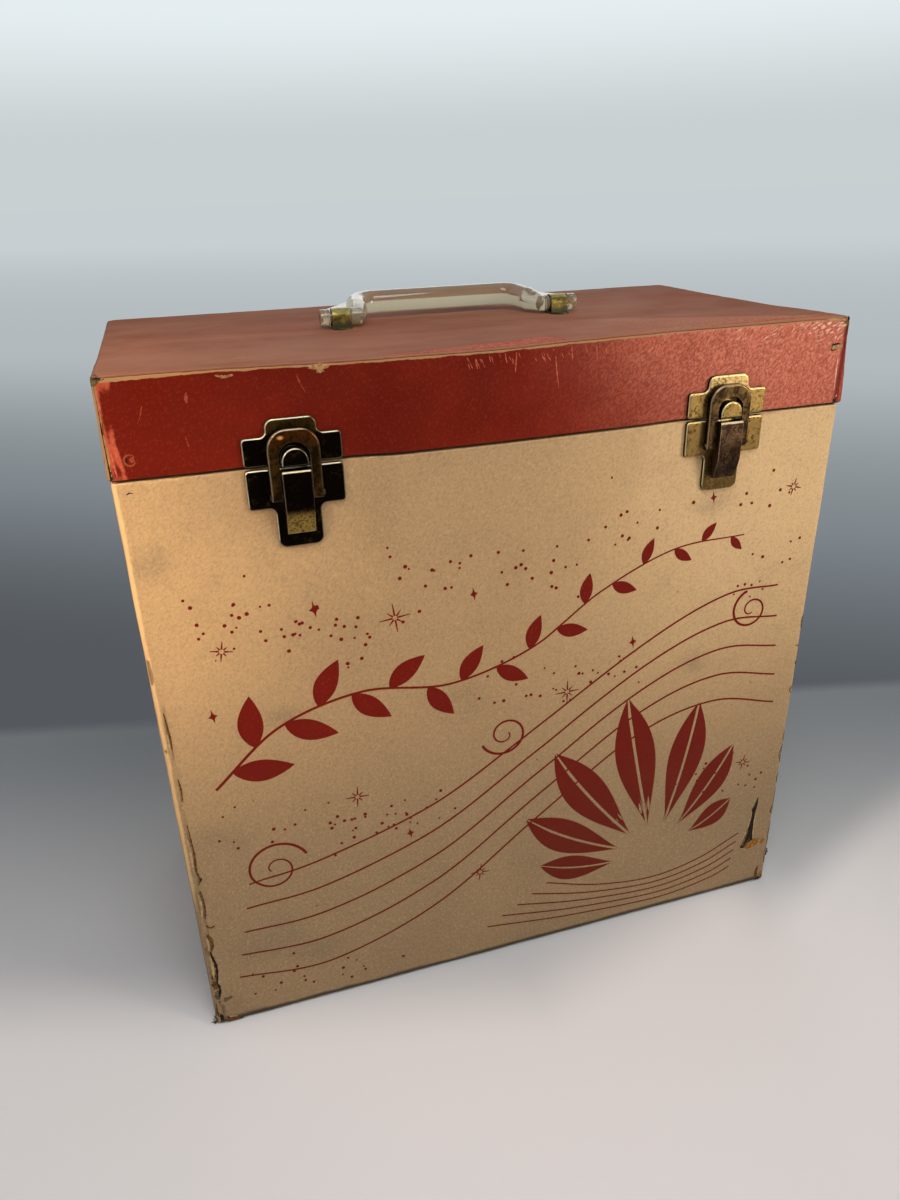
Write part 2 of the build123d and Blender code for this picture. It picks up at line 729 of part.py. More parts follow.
block_start = neck_start - block_length
knob_end = neck_end + knob_length
block_middle = (block_start + neck_start) / 2
bend_x = grip_half + grip_bend
arm_x = block_middle + (bend_x - block_middle) * arm_share  # where an arm has tapered out to the grip
arm_reach = grip_reach * arm_share
with BuildPart() as handle:
    with BuildLine(handle_plane) as spine:
        FilletPolyline(
            (-arm_x, arm_reach),
            (-bend_x, grip_reach),
            (bend_x, grip_reach),
            (arm_x, arm_reach),
            radius=grip_bend,
        )
    spine_wire = spine.wires()[0]
    with BuildSketch(Plane(spine_wire @ 0, z_dir=spine_wire % 0)):
        Circle(grip_radius)
    sweep(path=spine_wire)
    for side in (-1, 1):
        shoulder = Vector(handle_point(side * arm_x, arm_reach))
        root = Vector(handle_point(side * block_middle, 0))
        along = shoulder - root
        with BuildSketch(Plane(root, z_dir=along)):
            Circle(block_radius)
        with BuildSketch(Plane(shoulder, z_dir=along)):
            Circle(grip_radius)
        loft()
        span = sorted((side * neck_start, side * knob_end))
        high = block_radius + 1
        block((span[0], -high, pivot_z - high), (span[1], high, pivot_z + high), Mode.SUBTRACT)
        for radius, start, end in (
            (block_radius, block_start, neck_start),
            (neck_radius, neck_start, neck_end),
            (block_radius, neck_end, knob_end),
        ):
            span = sorted((side * start, side * end))
            rod_x(radius, span[0], span[1], 0, pivot_z)
        with BuildSketch(handle_plane.offset(-web_thickness / 2)):
            with BuildLine():
                Polyline(
                    (side * block_middle, window_start),
                    (side * neck_end, window_start),
                    (side * neck_end, 0),
                    (side * knob_end, 0),
                    (side * knob_end, block_radius),
                    (side * (bend_x + web_overlap), grip_reach - web_overlap),
                    (side * bend_x, web_end),
                    close=True,
                )
            make_face()
        extrude(amount=web_thickness)
        end_plane = Plane(handle_point(side * knob_end, 0), x_dir=(0, 1, 0), z_dir=(side, 0, 0))
        with BuildSketch(end_plane):
            SlotCenterToCenter(2 * end_recess_half, 2 * end_recess_radius)
        extrude(amount=-end_recess_depth, mode=Mode.SUBTRACT)
save(handle, "handle")

for side, middle_x in (("left", -strap_spread), ("right", strap_spread)):
    with BuildPart() as foot_plate:
        with BuildSketch(Plane((middle_x, 0, lid_top_z))):
            SlotOverall(foot_length, foot_width, rotation=90)
        extrude(amount=foot_sheet)
        cut_strap_slots()
    save(foot_plate, f"handle_base_plate_{side}")

    with BuildPart() as backing_plate:
        low = (middle_x - backing_width / 2, -backing_length / 2, lid_inside_z - backing_sheet)
        block(low, (middle_x + backing_width / 2, backing_length / 2, lid_inside_z))
        half_x = strap_width / 2 + slot_play
        for leg in (-1, 1):
            middle_y = leg * (strap_inner_radius + strap_sheet / 2)
            half_y = strap_sheet / 2 + slot_play
            low = (middle_x - half_x, middle_y - half_y, lid_inside_z - backing_sheet - 1)
            block(low, (middle_x + half_x, middle_y + half_y, lid_inside_z + 1), Mode.SUBTRACT)
    save(backing_plate, f"handle_backing_plate_{side}")

    clinch_z = lid_inside_z - backing_sheet
    with BuildPart() as strap:
        with BuildSketch(Plane((middle_x, 0, pivot_z), x_dir=(0, 1, 0), z_dir=(1, 0, 0))):
            Circle(strap_outer_radius)
            Circle(strap_inner_radius, mode=Mode.SUBTRACT)
            with Locations((0, -strap_outer_radius)):
                Rectangle(2 * strap_outer_radius + 1, 2 * strap_outer_radius, mode=Mode.SUBTRACT)
        extrude(amount=strap_width / 2, both=True)
        for leg in (-1, 1):
            y_span = sorted((leg * strap_inner_radius, leg * strap_outer_radius))
            low = (middle_x - strap_width / 2, y_span[0], clinch_z - strap_sheet)
            block(low, (middle_x + strap_width / 2, y_span[1], pivot_z))
            y_span = sorted((leg * strap_inner_radius, leg * (strap_outer_radius + strap_clinch)))
            low = (middle_x - strap_width / 2, y_span[0], clinch_z - strap_sheet)
            block(low, (middle_x + strap_width / 2, y_span[1], clinch_z))
    save(strap, f"handle_strap_{side}")
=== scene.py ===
import bpy, math
import numpy as np
from mathutils import Matrix, Vector


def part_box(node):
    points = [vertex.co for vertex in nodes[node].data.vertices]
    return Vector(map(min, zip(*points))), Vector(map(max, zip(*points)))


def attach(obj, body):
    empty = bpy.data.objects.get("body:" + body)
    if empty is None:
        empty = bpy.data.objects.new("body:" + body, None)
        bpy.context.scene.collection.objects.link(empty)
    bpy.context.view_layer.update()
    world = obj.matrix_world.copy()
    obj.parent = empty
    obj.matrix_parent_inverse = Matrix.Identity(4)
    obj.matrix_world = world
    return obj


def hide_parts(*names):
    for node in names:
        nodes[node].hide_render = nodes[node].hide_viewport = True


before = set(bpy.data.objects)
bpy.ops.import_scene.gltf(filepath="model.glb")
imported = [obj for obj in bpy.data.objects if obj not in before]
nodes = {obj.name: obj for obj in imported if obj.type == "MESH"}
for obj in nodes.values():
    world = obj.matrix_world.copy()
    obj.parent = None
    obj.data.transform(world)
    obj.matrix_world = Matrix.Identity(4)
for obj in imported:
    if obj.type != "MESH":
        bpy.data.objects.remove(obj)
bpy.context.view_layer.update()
print("frame loaded:", len(nodes), "nodes")

# Record carrying case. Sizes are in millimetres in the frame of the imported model:
# z is up from the floor and the front with the two latches faces -y.


def corners(node):
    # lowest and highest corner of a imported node, in millimetres
    low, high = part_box(node)
    return np.array(low) * 1000, np.array(high) * 1000


baseLow, baseHigh = corners("base_covering")
lidLow, lidHigh = corners("lid_covering")
halfX, halfY = baseHigh[0], baseHigh[1]
rimZ, footZ = baseHigh[2], baseLow[2]
lidRimZ, lidTopZ = lidLow[2], lidHigh[2]
frontY = -halfY


def rgb(red, green, blue):
    # screen colour 0..255 to the linear colour that shaders take
    value = np.array([red, green, blue]) / 255
    linear = np.where(value <= 0.04045, value / 12.92, ((value + 0.055) / 1.055) ** 2.4)
    return (*linear.tolist(), 1.0)


def feed(value, socket):
    # a wire is linked to the socket, a plain value is set on it
    if isinstance(value, Wire):
        value.into(socket)
    else:
        socket.default_value = value


def wired(tree, node, fed, out=0):
    # feeds a node's sockets, by name or number, and gives the wire from one of its outputs
    for key, value in fed.items():
        feed(value, node.inputs[key])
    return Wire(tree, node.outputs[out])


class Wire:
    # one output in a node tree, with plain arithmetic
    def __init__(self, tree, socket):
        self.tree, self.socket = tree, socket

    def into(self, socket):
        self.tree.links.new(self.socket, socket)

    def maths(self, kind, *others):
        node = self.tree.nodes.new("ShaderNodeMath")
        node.operation = kind
        return wired(self.tree, node, dict(enumerate((self, *others))))

    def __add__(self, other):
        return self.maths("ADD", other)

    def __sub__(self, other):
        return self.maths("SUBTRACT", other)

    def __mul__(self, other):
        return self.maths("MULTIPLY", other)

    def bigger(self, other):
        return self.maths("MAXIMUM", other)

    def size(self):
        return self.maths("ABSOLUTE")

    def turned(self):
        # one minus the value
        return self.maths("MULTIPLY_ADD", -1.0, 1.0)


def step(value, low, high, first=0.0, last=1.0, kind="SMOOTHSTEP"):
    # rise from first to last as the value goes from low to high
    node = value.tree.nodes.new("ShaderNodeMapRange")
    node.interpolation_type = kind
    return wired(value.tree, node, {"Value": value, "From Min": low, "From Max": high,
                                    "To Min": first, "To Max": last}, "Result")


# camera, lamps and the light around
cameraSet = {
    "at": (-140.1, -447.7, 404.5),  # mm
    "turn": 16.73,  # degrees from straight ahead towards +x
    "down": 25.15,
    "roll": -1.70,
    "lens": 26.55,
    "sensor": 36,  # mm
    "sees": (0.01, 50),  # nearest and farthest, m
}


def placeCamera(setting):
    # forward from turn and down; the right hand is level, then rolled about the view line
    turn, down, roll = (math.radians(setting[k]) for k in ("turn", "down", "roll"))
    level = Vector((math.cos(turn), -math.sin(turn), 0))
    ahead = Vector((math.sin(turn), math.cos(turn), 0))
    forward = ahead * math.cos(down) - Vector((0, 0, math.sin(down)))
    upright = level.cross(forward)
    right = level * math.cos(roll) + upright * math.sin(roll)
    up = upright * math.cos(roll) - level * math.sin(roll)
    data = bpy.data.cameras.new("camera")
    data.lens, data.sensor_width = setting["lens"], setting["sensor"]
    data.clip_start, data.clip_end = setting["sees"]
    camera = bpy.data.objects.new("camera", data)
    bpy.context.scene.collection.objects.link(camera)
    facing = Matrix((right, up, -forward)).transposed().to_4x4()
    camera.matrix_world = Matrix.Translation(Vector(setting["at"]) / 1000) @ facing
    bpy.context.scene.camera = camera


lampSet = {
    # name: place (m), aimed at (m), size (m), power (W), colour, spread (degrees)
    "over": ((-0.10, -0.62, 1.10), (-0.08, -0.38, 0.0), (0.7, 0.5), 3.7, (0.98, 0.97, 1.0), 130),
    "leftFront": ((-0.52, -0.44, 0.54), (-0.222, -0.09, 0.295), (0.10, 0.14), 0.12, (1.0, 0.82, 0.58), 27),
    "rightFront": ((0.86, -0.80, 0.50), (0.15, -0.09, 0.34), (0.35, 0.35), 0.90, (1.0, 0.92, 0.78), 56),
    "left": ((-1.4, 0.5, 0.9), (0.0, 0.0, 0.2), (0.9, 0.9), 1.6, (1.0, 0.96, 0.90), 180),
    "behind": ((0.5, 1.5, 0.9), (0.0, 0.05, 0.2), (1.0, 0.8), 3.2, (0.96, 0.98, 1.0), 180),
}
studio = {
    "ambient": (0.66, 0.66, 0.66, 1),
    "ambientStrength": 0.19,
    "backdrop": (0.58, 0.63, 0.645, 1),
    "above": 1.35,  # the backdrop is this much brighter high up
    "rises": (0.04, 0.16),  # it brightens between these heights of the view direction
    "darkSide": 0.10,  # share of the backdrop's light that metal and glass see from the front
    "darkens": (-0.45, 0.35),  # from the front to the back of the view direction
}


def placeLamps():
    # each lamp is a rectangle that looks from its place to its aim
    for name, (place, aim, size, power, colour, spread) in lampSet.items():
        data = bpy.data.lights.new(name, "AREA")
        data.shape, data.size, data.size_y = "RECTANGLE", size[0], size[1]
        data.energy, data.color, data.spread = power, colour, math.radians(spread)
        lamp = bpy.data.objects.new(name, data)
        lamp.location = place
        lamp.rotation_mode = "QUATERNION"
        lamp.rotation_quaternion = (Vector(aim) - Vector(place)).to_track_quat("-Z", "Y")
        lamp.visible_transmission = False
        bpy.context.scene.collection.objects.link(lamp)


def makeWorld():
    # soft grey light on everything; the eye sees the pale backdrop instead, and so do metal and glass
    # towards the back, while towards the front they see a dim room
    world = bpy.data.worlds.new("studio")
    bpy.context.scene.world = world
    world.use_nodes = True
    tree = world.node_tree
    tree.nodes.clear()
    path = tree.nodes.new("ShaderNodeLightPath")
    seen, glossy, through = (Wire(tree, path.outputs[f"Is {kind} Ray"])
                             for kind in ("Camera", "Glossy", "Transmission"))
    coordinate = tree.nodes.new("ShaderNodeTexCoord")
    split = tree.nodes.new("ShaderNodeSeparateXYZ")
    tree.links.new(coordinate.outputs["Generated"], split.inputs[0])
    side = step(Wire(tree, split.outputs["Y"]), *studio["darkens"], studio["darkSide"], 1, "LINEAR")
    height = step(Wire(tree, split.outputs["Z"]), *studio["rises"], 1, studio["above"])
    strength = wired(tree, tree.nodes.new("ShaderNodeMix"), {0: seen, 2: side, 3: height})
    soft = wired(tree, tree.nodes.new("ShaderNodeBackground"),
                 {"Color": studio["ambient"], "Strength": studio["ambientStrength"]})
    shown = wired(tree, tree.nodes.new("ShaderNodeBackground"),
                  {"Color": studio["backdrop"], "Strength": strength})
    either = seen.bigger(glossy.bigger(through))
    mix = wired(tree, tree.nodes.new("ShaderNodeMixShader"), {0: either, 1: soft, 2: shown})
    mix.into(tree.nodes.new("ShaderNodeOutputWorld").inputs[0])


placeCamera(cameraSet)
placeLamps()
makeWorld()
bpy.context.scene.view_settings.view_transform = "Standard"
print("camera and lamps placed")


class Finish:
    # a principled material and the patterns that go into it
    def __init__(self, name, fixed=None):
        self.material = bpy.data.materials.new(name)
        self.material.use_nodes = True
        self.tree = self.material.node_tree
        self.shader = self.tree.nodes["Principled BSDF"]
        for key, value in (fixed or {}).items():
            self.shader.inputs[key].default_value = value
        self.place = self.node("TexCoord", {}, "Object")
        split = self.tree.nodes.new("ShaderNodeSeparateXYZ")
        self.place.into(split.inputs[0])
        self.x, self.y, self.z = (Wire(self.tree, s) for s in split.outputs)

    def node(self, kind, fed, out=0):
        # a new node in this material, fed and read
        return wired(self.tree, self.tree.nodes.new("ShaderNode" + kind), fed, out)

    def attribute(self, name):
        # a mark stored at the points of the mesh
        node = self.tree.nodes.new("ShaderNodeAttribute")
        node.attribute_name = name
        return Wire(self.tree, node.outputs["Fac"])

    def mapped(self, scale, turn=(0, 0, 0)):
        # coordinates scaled, then turned by degrees about each axis
        turn = [math.radians(a) for a in turn]
        return self.node("Mapping", {"Vector": self.place, "Scale": scale, "Rotation": turn})

    def vectors(self, kind, fed, out=0):
        # vector arithmetic
        node = self.tree.nodes.new("ShaderNodeVectorMath")
        node.operation = kind
        return wired(self.tree, node, fed, out)

    def drawnOut(self, axis, ratio):
        # coordinates squashed along an axis, so that a pattern on them is drawn out by the ratio
        axis = Vector(axis).normalized()
        along = self.vectors("DOT_PRODUCT", {0: self.place, 1: axis}, "Value")
        taken = self.vectors("SCALE", {0: axis * (1 - 1 / ratio), "Scale": along})
        return self.vectors("SUBTRACT", {0: self.place, 1: taken})

    def noise(self, scale, detail=3.0, roughness=0.5, distortion=0.0, source=None):
        # cloudy pattern; the scale is in patches per metre
        return self.node("TexNoise", {"Vector": source or self.place, "Scale": scale, "Detail": detail,
                                      "Roughness": roughness, "Distortion": distortion}, "Fac")

    def blend(self, amount, first, second):
        # colour that goes from first to second as the amount goes from 0 to 1
        node = self.tree.nodes.new("ShaderNodeMix")
        node.data_type = "RGBA"
        return wired(self.tree, node, {0: amount, 6: first, 7: second}, 2)

    def bump(self, height, depth, strength=1.0):
        # height 0..1 raised by a depth in metres
        return self.node("Bump", {"Strength": strength, "Distance": depth, "Height": height})

    def rounded(self, reach, samples):
        # normal rounded over the reach in metres
        bevel = self.tree.nodes.new("ShaderNodeBevel")
        bevel.samples = samples
        return wired(self.tree, bevel, {"Radius": reach})

    def rubbed(self, reach, low, high):
        # 1 on edges: how far the rounded normal leans from the flat one
        flat = self.node("NewGeometry", {}, "Normal")
        dot = self.vectors("DOT_PRODUCT", {0: self.rounded(reach, 4), 1: flat}, "Value")
        return step(dot, high, low)

    def leaning(self, direction, low, high, reach=0.0):
        # 1 where the surface, rounded over the reach in metres, leans towards a direction of the object
        if reach:
            local = self.tree.nodes.new("ShaderNodeVectorTransform")
            local.vector_type, local.convert_from, local.convert_to = "NORMAL", "WORLD", "OBJECT"
            normal = wired(self.tree, local, {0: self.rounded(reach, 6)})
        else:
            normal = self.node("TexCoord", {}, "Normal")
        towards = Vector(direction).normalized()
        return step(self.vectors("DOT_PRODUCT", {0: normal, 1: towards}, "Value"), low, high)

    def near(self, x, z, radius):
        # 1 at a place on the front (m), fading to 0 at the radius; wider than it is high
        across, up = self.x - x, self.z - z
        return step((across * across * 0.6 + up * up * 1.5).maths("SQRT"), radius, 0.0)

    def wear(self, colour=None, roughness=None, normal=None, metallic=None):
        # links what has been worked out to the shader and gives the finished material
        for value, name in ((colour, "Base Color"), (roughness, "Roughness"), (normal, "Normal"),
                            (metallic, "Metallic")):
            if value:
                value.into(self.shader.inputs[name])
        return self.material


def leatherGrain(finish, depth=0.00014):
    # fine wrinkles drawn out along a diagonal, with smaller pebbles between them
    slanted = finish.drawnOut((1, 1, 1.2), 5.0)
    height = finish.noise(1150, 2.0, 0.5, 0.2, source=slanted) * 0.8 + finish.noise(2000, 1.0) * 0.2
    return height, finish.bump(height, depth)


creamSet = {
    "fresh": rgb(212, 170, 118), "paleSheen": rgb(212, 181, 136), "aged": rgb(190, 152, 107),
    "soiledAndShaded": rgb(122, 103, 78), "grimy": rgb(84, 66, 46), "rubbed": rgb(236, 192, 134),
    "board": rgb(104, 72, 36), "foot": rgb(56, 44, 32),
    # soft grey smudges on the front: place and radius, m
    "smudges": [(-0.115, 0.184, 0.012), (-0.135, 0.052, 0.030), (-0.112, 0.036, 0.024),
                (-0.162, 0.268, 0.014), (-0.033, 0.174, 0.018), (0.102, 0.170, 0.012),
                (0.104, 0.259, 0.014), (-0.150, 0.120, 0.020), (0.030, 0.060, 0.022)],
    "smudged": 0.42,  # how dark the smudges are
    "lowSoilAndShade": 0.71,  # how dark the lower part gets: dirt and painted shade
    "middleShade": 0.49,  # how dark the painted shade over the upper middle is
    "lowRightShade": 0.2,  # how dark the painted shade at the lower right is
    "footDirtAndShadow": (0.0044, 0.0026),  # the dark foot, dirt and a painted contact shadow, fades in between these heights, m
}


def creamLeatherette(name):
    # fresh to aged in clouds, then painted sheen and painted shade, dirt, rubbed and torn places over it
    s = creamSet
    finish = Finish(name, {"Specular IOR Level": 0.30})
    height, normal = leatherGrain(finish)
    clouds = finish.noise(9, 4, 0.6, 0.6)
    blots = finish.noise(34, 5, 0.65, 0.8)
    flecks = finish.noise(260, 3, 0.6)
    # darker towards the foot: dirt and painted shade
    low = step(finish.z + (clouds - 0.5) * 0.10, 0.27, 0.07)
    # painted shade over the upper middle, between the light from both sides
    middle = step((finish.x + 0.05).size() + (clouds - 0.5) * 0.06, 0.166, 0.03)
    upper = step(finish.z, 0.02, 0.30, 0.05, s["middleShade"])
    # painted sheen over the upper right, where the lamp at the right reflects
    upperRight = step(finish.x, -0.01, 0.12) * step(finish.z, 0.10, 0.24, 0, 0.5)
    # painted shade at the lower right
    lowRight = step(finish.x, 0.08, 0.15) * step(finish.z, 0.15, 0.04)
    smudge = 0
    for x, z, radius in s["smudges"]:
        spot = finish.near(x, z, radius)
        smudge = spot.bigger(smudge) if smudge else spot
    rubbed = finish.attribute("rubbed") + (flecks - 0.5) * 0.3
    # dirt, and painted shade along the foot
    dirtAndShade = finish.attribute("dirtAndShade") + (blots - 0.5) * 0.5
    bare = finish.attribute("bare") + (finish.noise(420, 3, 0.6) - 0.5) * 0.7
    # dark foot line: dirt and a painted contact shadow
    foot = step(finish.z + (finish.noise(90, 3) - 0.5) * 0.002, *s["footDirtAndShadow"])
    colour = finish.blend(step(clouds, 0.36, 0.70), s["fresh"], s["aged"])
    for amount, tint in ((upperRight, "paleSheen"), (lowRight * s["lowRightShade"], "soiledAndShaded"),
                         (smudge * step(blots, 0.36, 0.62, 0, s["smudged"]), "soiledAndShaded"),
                         (step(blots, 0.48, 0.80, 0, 0.16), "soiledAndShaded"), (low * s["lowSoilAndShade"], "soiledAndShaded"),
                         (middle * upper, "soiledAndShaded"), (step(flecks, 0.68, 0.82, 0, 0.14), "grimy"),
                         (step(height, 0.52, 0.36, 0, 0.20), "grimy"),
                         (step(height, 0.54, 0.68, 0, 0.16), "rubbed"),
                         (step(rubbed, 0.3, 0.7, 0, 0.8), "rubbed"),
                         (step(dirtAndShade, 0.35, 0.85, 0, 0.8), "grimy"),
                         (step(bare, 0.42, 0.56), "board"), (foot * 0.9, "foot")):
        colour = finish.blend(amount, colour, s[tint])
    rough = step(finish.noise(60, 3), 0.3, 0.7, 0.50, 0.66)
    return finish.wear(colour, rough, normal)


redSet = {
    "deep": rgb(98, 18, 2), "warm": rgb(120, 29, 7), "sheen": rgb(186, 84, 58),
    "brightSheen": rgb(212, 122, 96), "glint": rgb(226, 150, 126), "dustAndSheen": rgb(176, 126, 98),
    "scuff": rgb(174, 80, 54), "kraft": rgb(158, 120, 80), "board": rgb(92, 76, 42),
    "gapShade": rgb(20, 10, 6),
    "sheenShare": 0.85,  # how strong the painted sheen on the right part is
    "glintShare": 0.46,
    "dustAndSheenShare": (0.40, 0.68),  # least and most dust and painted sheen on top
}


def redLeatherette(name):
    # deep to warm in clouds, then painted sheen, dust with painted sheen on top, rubbed and torn places and
    # painted shade in gaps
    s = redSet
    finish = Finish(name, {"Specular IOR Level": 0.12})
    height, normal = leatherGrain(finish, 0.00015)
    clouds = finish.noise(14, 4, 0.6, 0.5)
    blots = finish.noise(70, 4, 0.65)
    grain = finish.noise(520, 3, 0.6)
    # the right part gets a painted sheen, most on the ridges of the grain, and painted glints
    sheen = finish.attribute("sheen") + (clouds - 0.5) * 0.35
    ridges = step(height + (blots - 0.5) * 0.16, 0.36, 0.66, 0.42, 1.0)
    bright = finish.noise(900, 3, 0.6, 0.2, source=finish.drawnOut((1, 1, 1.0), 5.0))
    glints = step(bright, 0.50, 0.68) * step(sheen, 0.2, 1.0, 0, s["glintShare"])
    # the top: dust and painted sheen
    top = finish.attribute("top")
    streaks = finish.noise(26, 5, 0.65, 0.5, source=finish.mapped((0.35, 1, 1)))
    scuff = finish.attribute("scuff") + (blots - 0.5) * 0.55 + (grain - 0.5) * 0.55
    kraft = step(finish.attribute("kraft") + (grain - 0.5) * 0.7, 0.44, 0.56)
    board = step(finish.attribute("board") + (grain - 0.5) * 0.6, 0.44, 0.58)
    # painted shade in the crack, the seam and the fold below the rim
    gapShade = step(finish.attribute("gapShade") + (grain - 0.5) * 0.3, 0.42, 0.58)
    colour = finish.blend(step(clouds, 0.35, 0.7), s["deep"], s["warm"])
    # a faint painted highlight on the grain's ridges, then the painted sheen and glints, the top's dust with
    # painted sheen, scuffs, kraft, board and painted shade in the gaps
    for amount, tint in ((step(height, 0.50, 0.68, 0, 0.09), "sheen"),
                         (step(sheen, 0.1, 0.9, 0, s["sheenShare"]) * ridges, "brightSheen"), (glints, "glint"),
                         (top * step(streaks, 0.3, 0.7, *s["dustAndSheenShare"]), "dustAndSheen"),
                         (step(scuff, 0.36, 0.74), "scuff"), (kraft, "kraft"), (board, "board"),
                         (gapShade, "gapShade")):
        colour = finish.blend(amount, colour, s[tint])
    rough = step(finish.noise(45, 4), 0.3, 0.7, 0.36, 0.48)
    return finish.wear(colour, rough + kraft.bigger(top) * 0.38, normal)


inkSet = {"full": rgb(108, 16, 2), "thin": rgb(134, 48, 20), "soiledAndShaded": rgb(92, 36, 16)}


def printInk(name):
    # full to thin where the grain stands up and has worn, and darker towards the foot: dirt and painted shade
    finish = Finish(name, {"Specular IOR Level": 0.12})
    height, normal = leatherGrain(finish)
    worn = step(height + (finish.noise(40, 4) - 0.5) * 0.3, 0.56, 0.74, 0, 0.5)
    colour = finish.blend(worn, inkSet["full"], inkSet["thin"])
    # darker towards the foot: dirt and painted shade
    colour = finish.blend(step(finish.z, 0.20, 0.0, 0, 0.6), colour, inkSet["soiledAndShaded"])
    return finish.wear(colour, step(finish.noise(60, 3), 0.3, 0.7, 0.48, 0.62), normal)


hingeSet = {"patina": rgb(92, 70, 30), "metal": rgb(196, 160, 84), "bright": rgb(236, 210, 140),
            "cover": 0.62, "mottle": 0.7}


def agedBrass(name, s):
    # patina over brass: the metal shows through where rubbed, by cover 0..1, and edges are bright
    finish = Finish(name, {"Metallic": 1.0})
    broad = finish.noise(160, 4, 0.6, 0.5)
    fine = finish.noise(900, 4, 0.65)
    shown = step(broad + (fine - 0.5) * s["mottle"], 0.88 - s["cover"], 1.16 - s["cover"])
    colour = finish.blend(shown, s["patina"], s["metal"])
    specks = step(finish.noise(1300, 2), 0.66, 0.74)
    colour = finish.blend(specks * 0.8, colour, s["patina"])
    edges = finish.rubbed(0.0007, 0.86, 0.97)
    colour = finish.blend(edges * step(fine, 0.25, 0.55, 0.35, 1.0), colour, s["bright"])
    scratch = finish.noise(500, 3, 0.6, source=finish.mapped((1, 1, 0.15), (0, 28, 0)))
    return finish.wear(colour, step(fine, 0.3, 0.7, 0.28, 0.5),
                       finish.bump(fine * 0.5 + scratch * 0.5, 0.00005, 0.5))


latchLook = {
    # each latch part: patina and metal under it, how much metal shows, the rim (a painted highlight) and the
    # standing sides (painted shade), then bands by height (m from, m to, colour, share) and a glint, a
    # painted reflection (x, z, radius, colour)
    "plateDark": {
        "patina": rgb(16, 10, 6), "metal": rgb(58, 42, 18), "cover": 0.34, "mottle": 0.6,
        "rim": rgb(226, 214, 180), "rimShare": 0.9, "side": rgb(34, 26, 14),
        "bands": [(0.3135, 0.3175, rgb(96, 76, 30), 0.62)],
    },
    "loopDark": {
        "patina": rgb(40, 28, 12), "metal": rgb(84, 58, 24), "cover": 0.46, "mottle": 0.5,
        "rim": rgb(190, 172, 142), "rimShare": 0.55, "side": rgb(54, 40, 18),
        "bands": [(0.3090, 0.3150, rgb(104, 56, 22), 0.62)],
        "glint": (-0.1030, 0.3146, 0.0015, rgb(240, 160, 80)),
    },
    "leverDark": {
        "patina": rgb(16, 9, 6), "metal": rgb(48, 30, 16), "cover": 0.34, "mottle": 0.5,
        "rim": rgb(220, 202, 158), "rimShare": 0.85, "side": rgb(96, 70, 34),
        "bands": [(0.2850, 0.2806, rgb(158, 130, 66), 0.95)],
    },
    "plateWarm": {
        "patina": rgb(92, 68, 34), "metal": rgb(180, 146, 86), "cover": 0.62, "mottle": 0.9,
        "rim": rgb(246, 228, 166), "rimShare": 0.9, "side": rgb(50, 42, 22),
        "bands": [(0.3125, 0.3175, rgb(222, 190, 130), 0.9), (0.3030, 0.2990, rgb(132, 102, 58), 0.55),
                  (0.2870, 0.2810, rgb(84, 66, 34), 0.85)],
    },
    "loopWarm": {
        "patina": rgb(56, 42, 28), "metal": rgb(120, 94, 58), "cover": 0.52, "mottle": 0.6,
        "rim": rgb(196, 164, 124), "rimShare": 0.7, "side": rgb(40, 30, 20), "bands": [],
    },
    "leverWarm": {
        "patina": rgb(70, 50, 38), "metal": rgb(128, 98, 70), "cover": 0.52, "mottle": 0.8,
        "rim": rgb(244, 224, 190), "rimShare": 0.85, "side": rgb(92, 72, 44),
        "bands": [(0.2950, 0.2860, rgb(26, 18, 10), 0.92)],
    },
}


def latchMetal(name, s):
    # dark patina over brass; rounded rims that lean up or to the left get a painted highlight, the standing
    # sides painted shade
    finish = Finish(name)
    broad = finish.noise(160, 4, 0.6, 0.5)
    fine = finish.noise(900, 4, 0.65)
    scratch = finish.noise(420, 3, 0.6, source=finish.drawnOut((1, 0, 1), 5))
    mottled = broad + (fine - 0.5) * s["mottle"] + (scratch - 0.5) * 0.3
    colour = finish.blend(step(mottled, 0.88 - s["cover"], 1.16 - s["cover"]), s["patina"], s["metal"])
    height = finish.z + (fine - 0.5) * 0.006
    for start, end, tint, share in s["bands"]:
        colour = finish.blend(step(height, start, end) * step(fine, 0.36, 0.58, 0.22, share), colour, tint)
    specks = step(finish.noise(1300, 2), 0.66, 0.74)
    colour = finish.blend(specks * 0.6, colour, s["patina"])
    # painted shade on the standing sides, then a painted highlight on rims that lean up or to the left and on
    # the front's rounding
    standing = finish.leaning((0, -1, 0), 0.62, 0.30)
    colour = finish.blend(standing, colour, s["side"])
    facing = standing.turned()
    lit = finish.leaning((-0.6, 0, 0.8), 0.20, 0.46, 0.0005) * facing * step(fine, 0.25, 0.5, 0.6, 1.0)
    rounding = finish.leaning((0, -1, 0), 0.93, 0.75, 0.0005) * facing
    rim = lit.bigger(rounding * 0.28) * s["rimShare"]
    colour = finish.blend(rim, colour, s["rim"])
    metallic = (rim * 0.8).turned()
    # glint: a painted reflection of a lamp
    if "glint" in s:
        x, z, radius, tint = s["glint"]
        glint = finish.near(x, z, radius)
        colour = finish.blend(glint, colour, tint)
        metallic = metallic * glint.turned()
    return finish.wear(colour, step(fine, 0.3, 0.7, 0.28, 0.5),
                       finish.bump(fine * 0.5 + scratch * 0.5, 0.00005, 0.5), metallic)


strapSet = {
    "shade": rgb(88, 78, 42), "brass": rgb(146, 128, 68),
    "foot": rgb(52, 54, 34), "crown": rgb(206, 194, 118),
    "footEnds": (0.3462, 0.3436),  # the dark foot fades in between these heights, m
    "shines": (0.3436, 0.3470, 0.45, 0.95),  # metallic from the foot to the crown
}


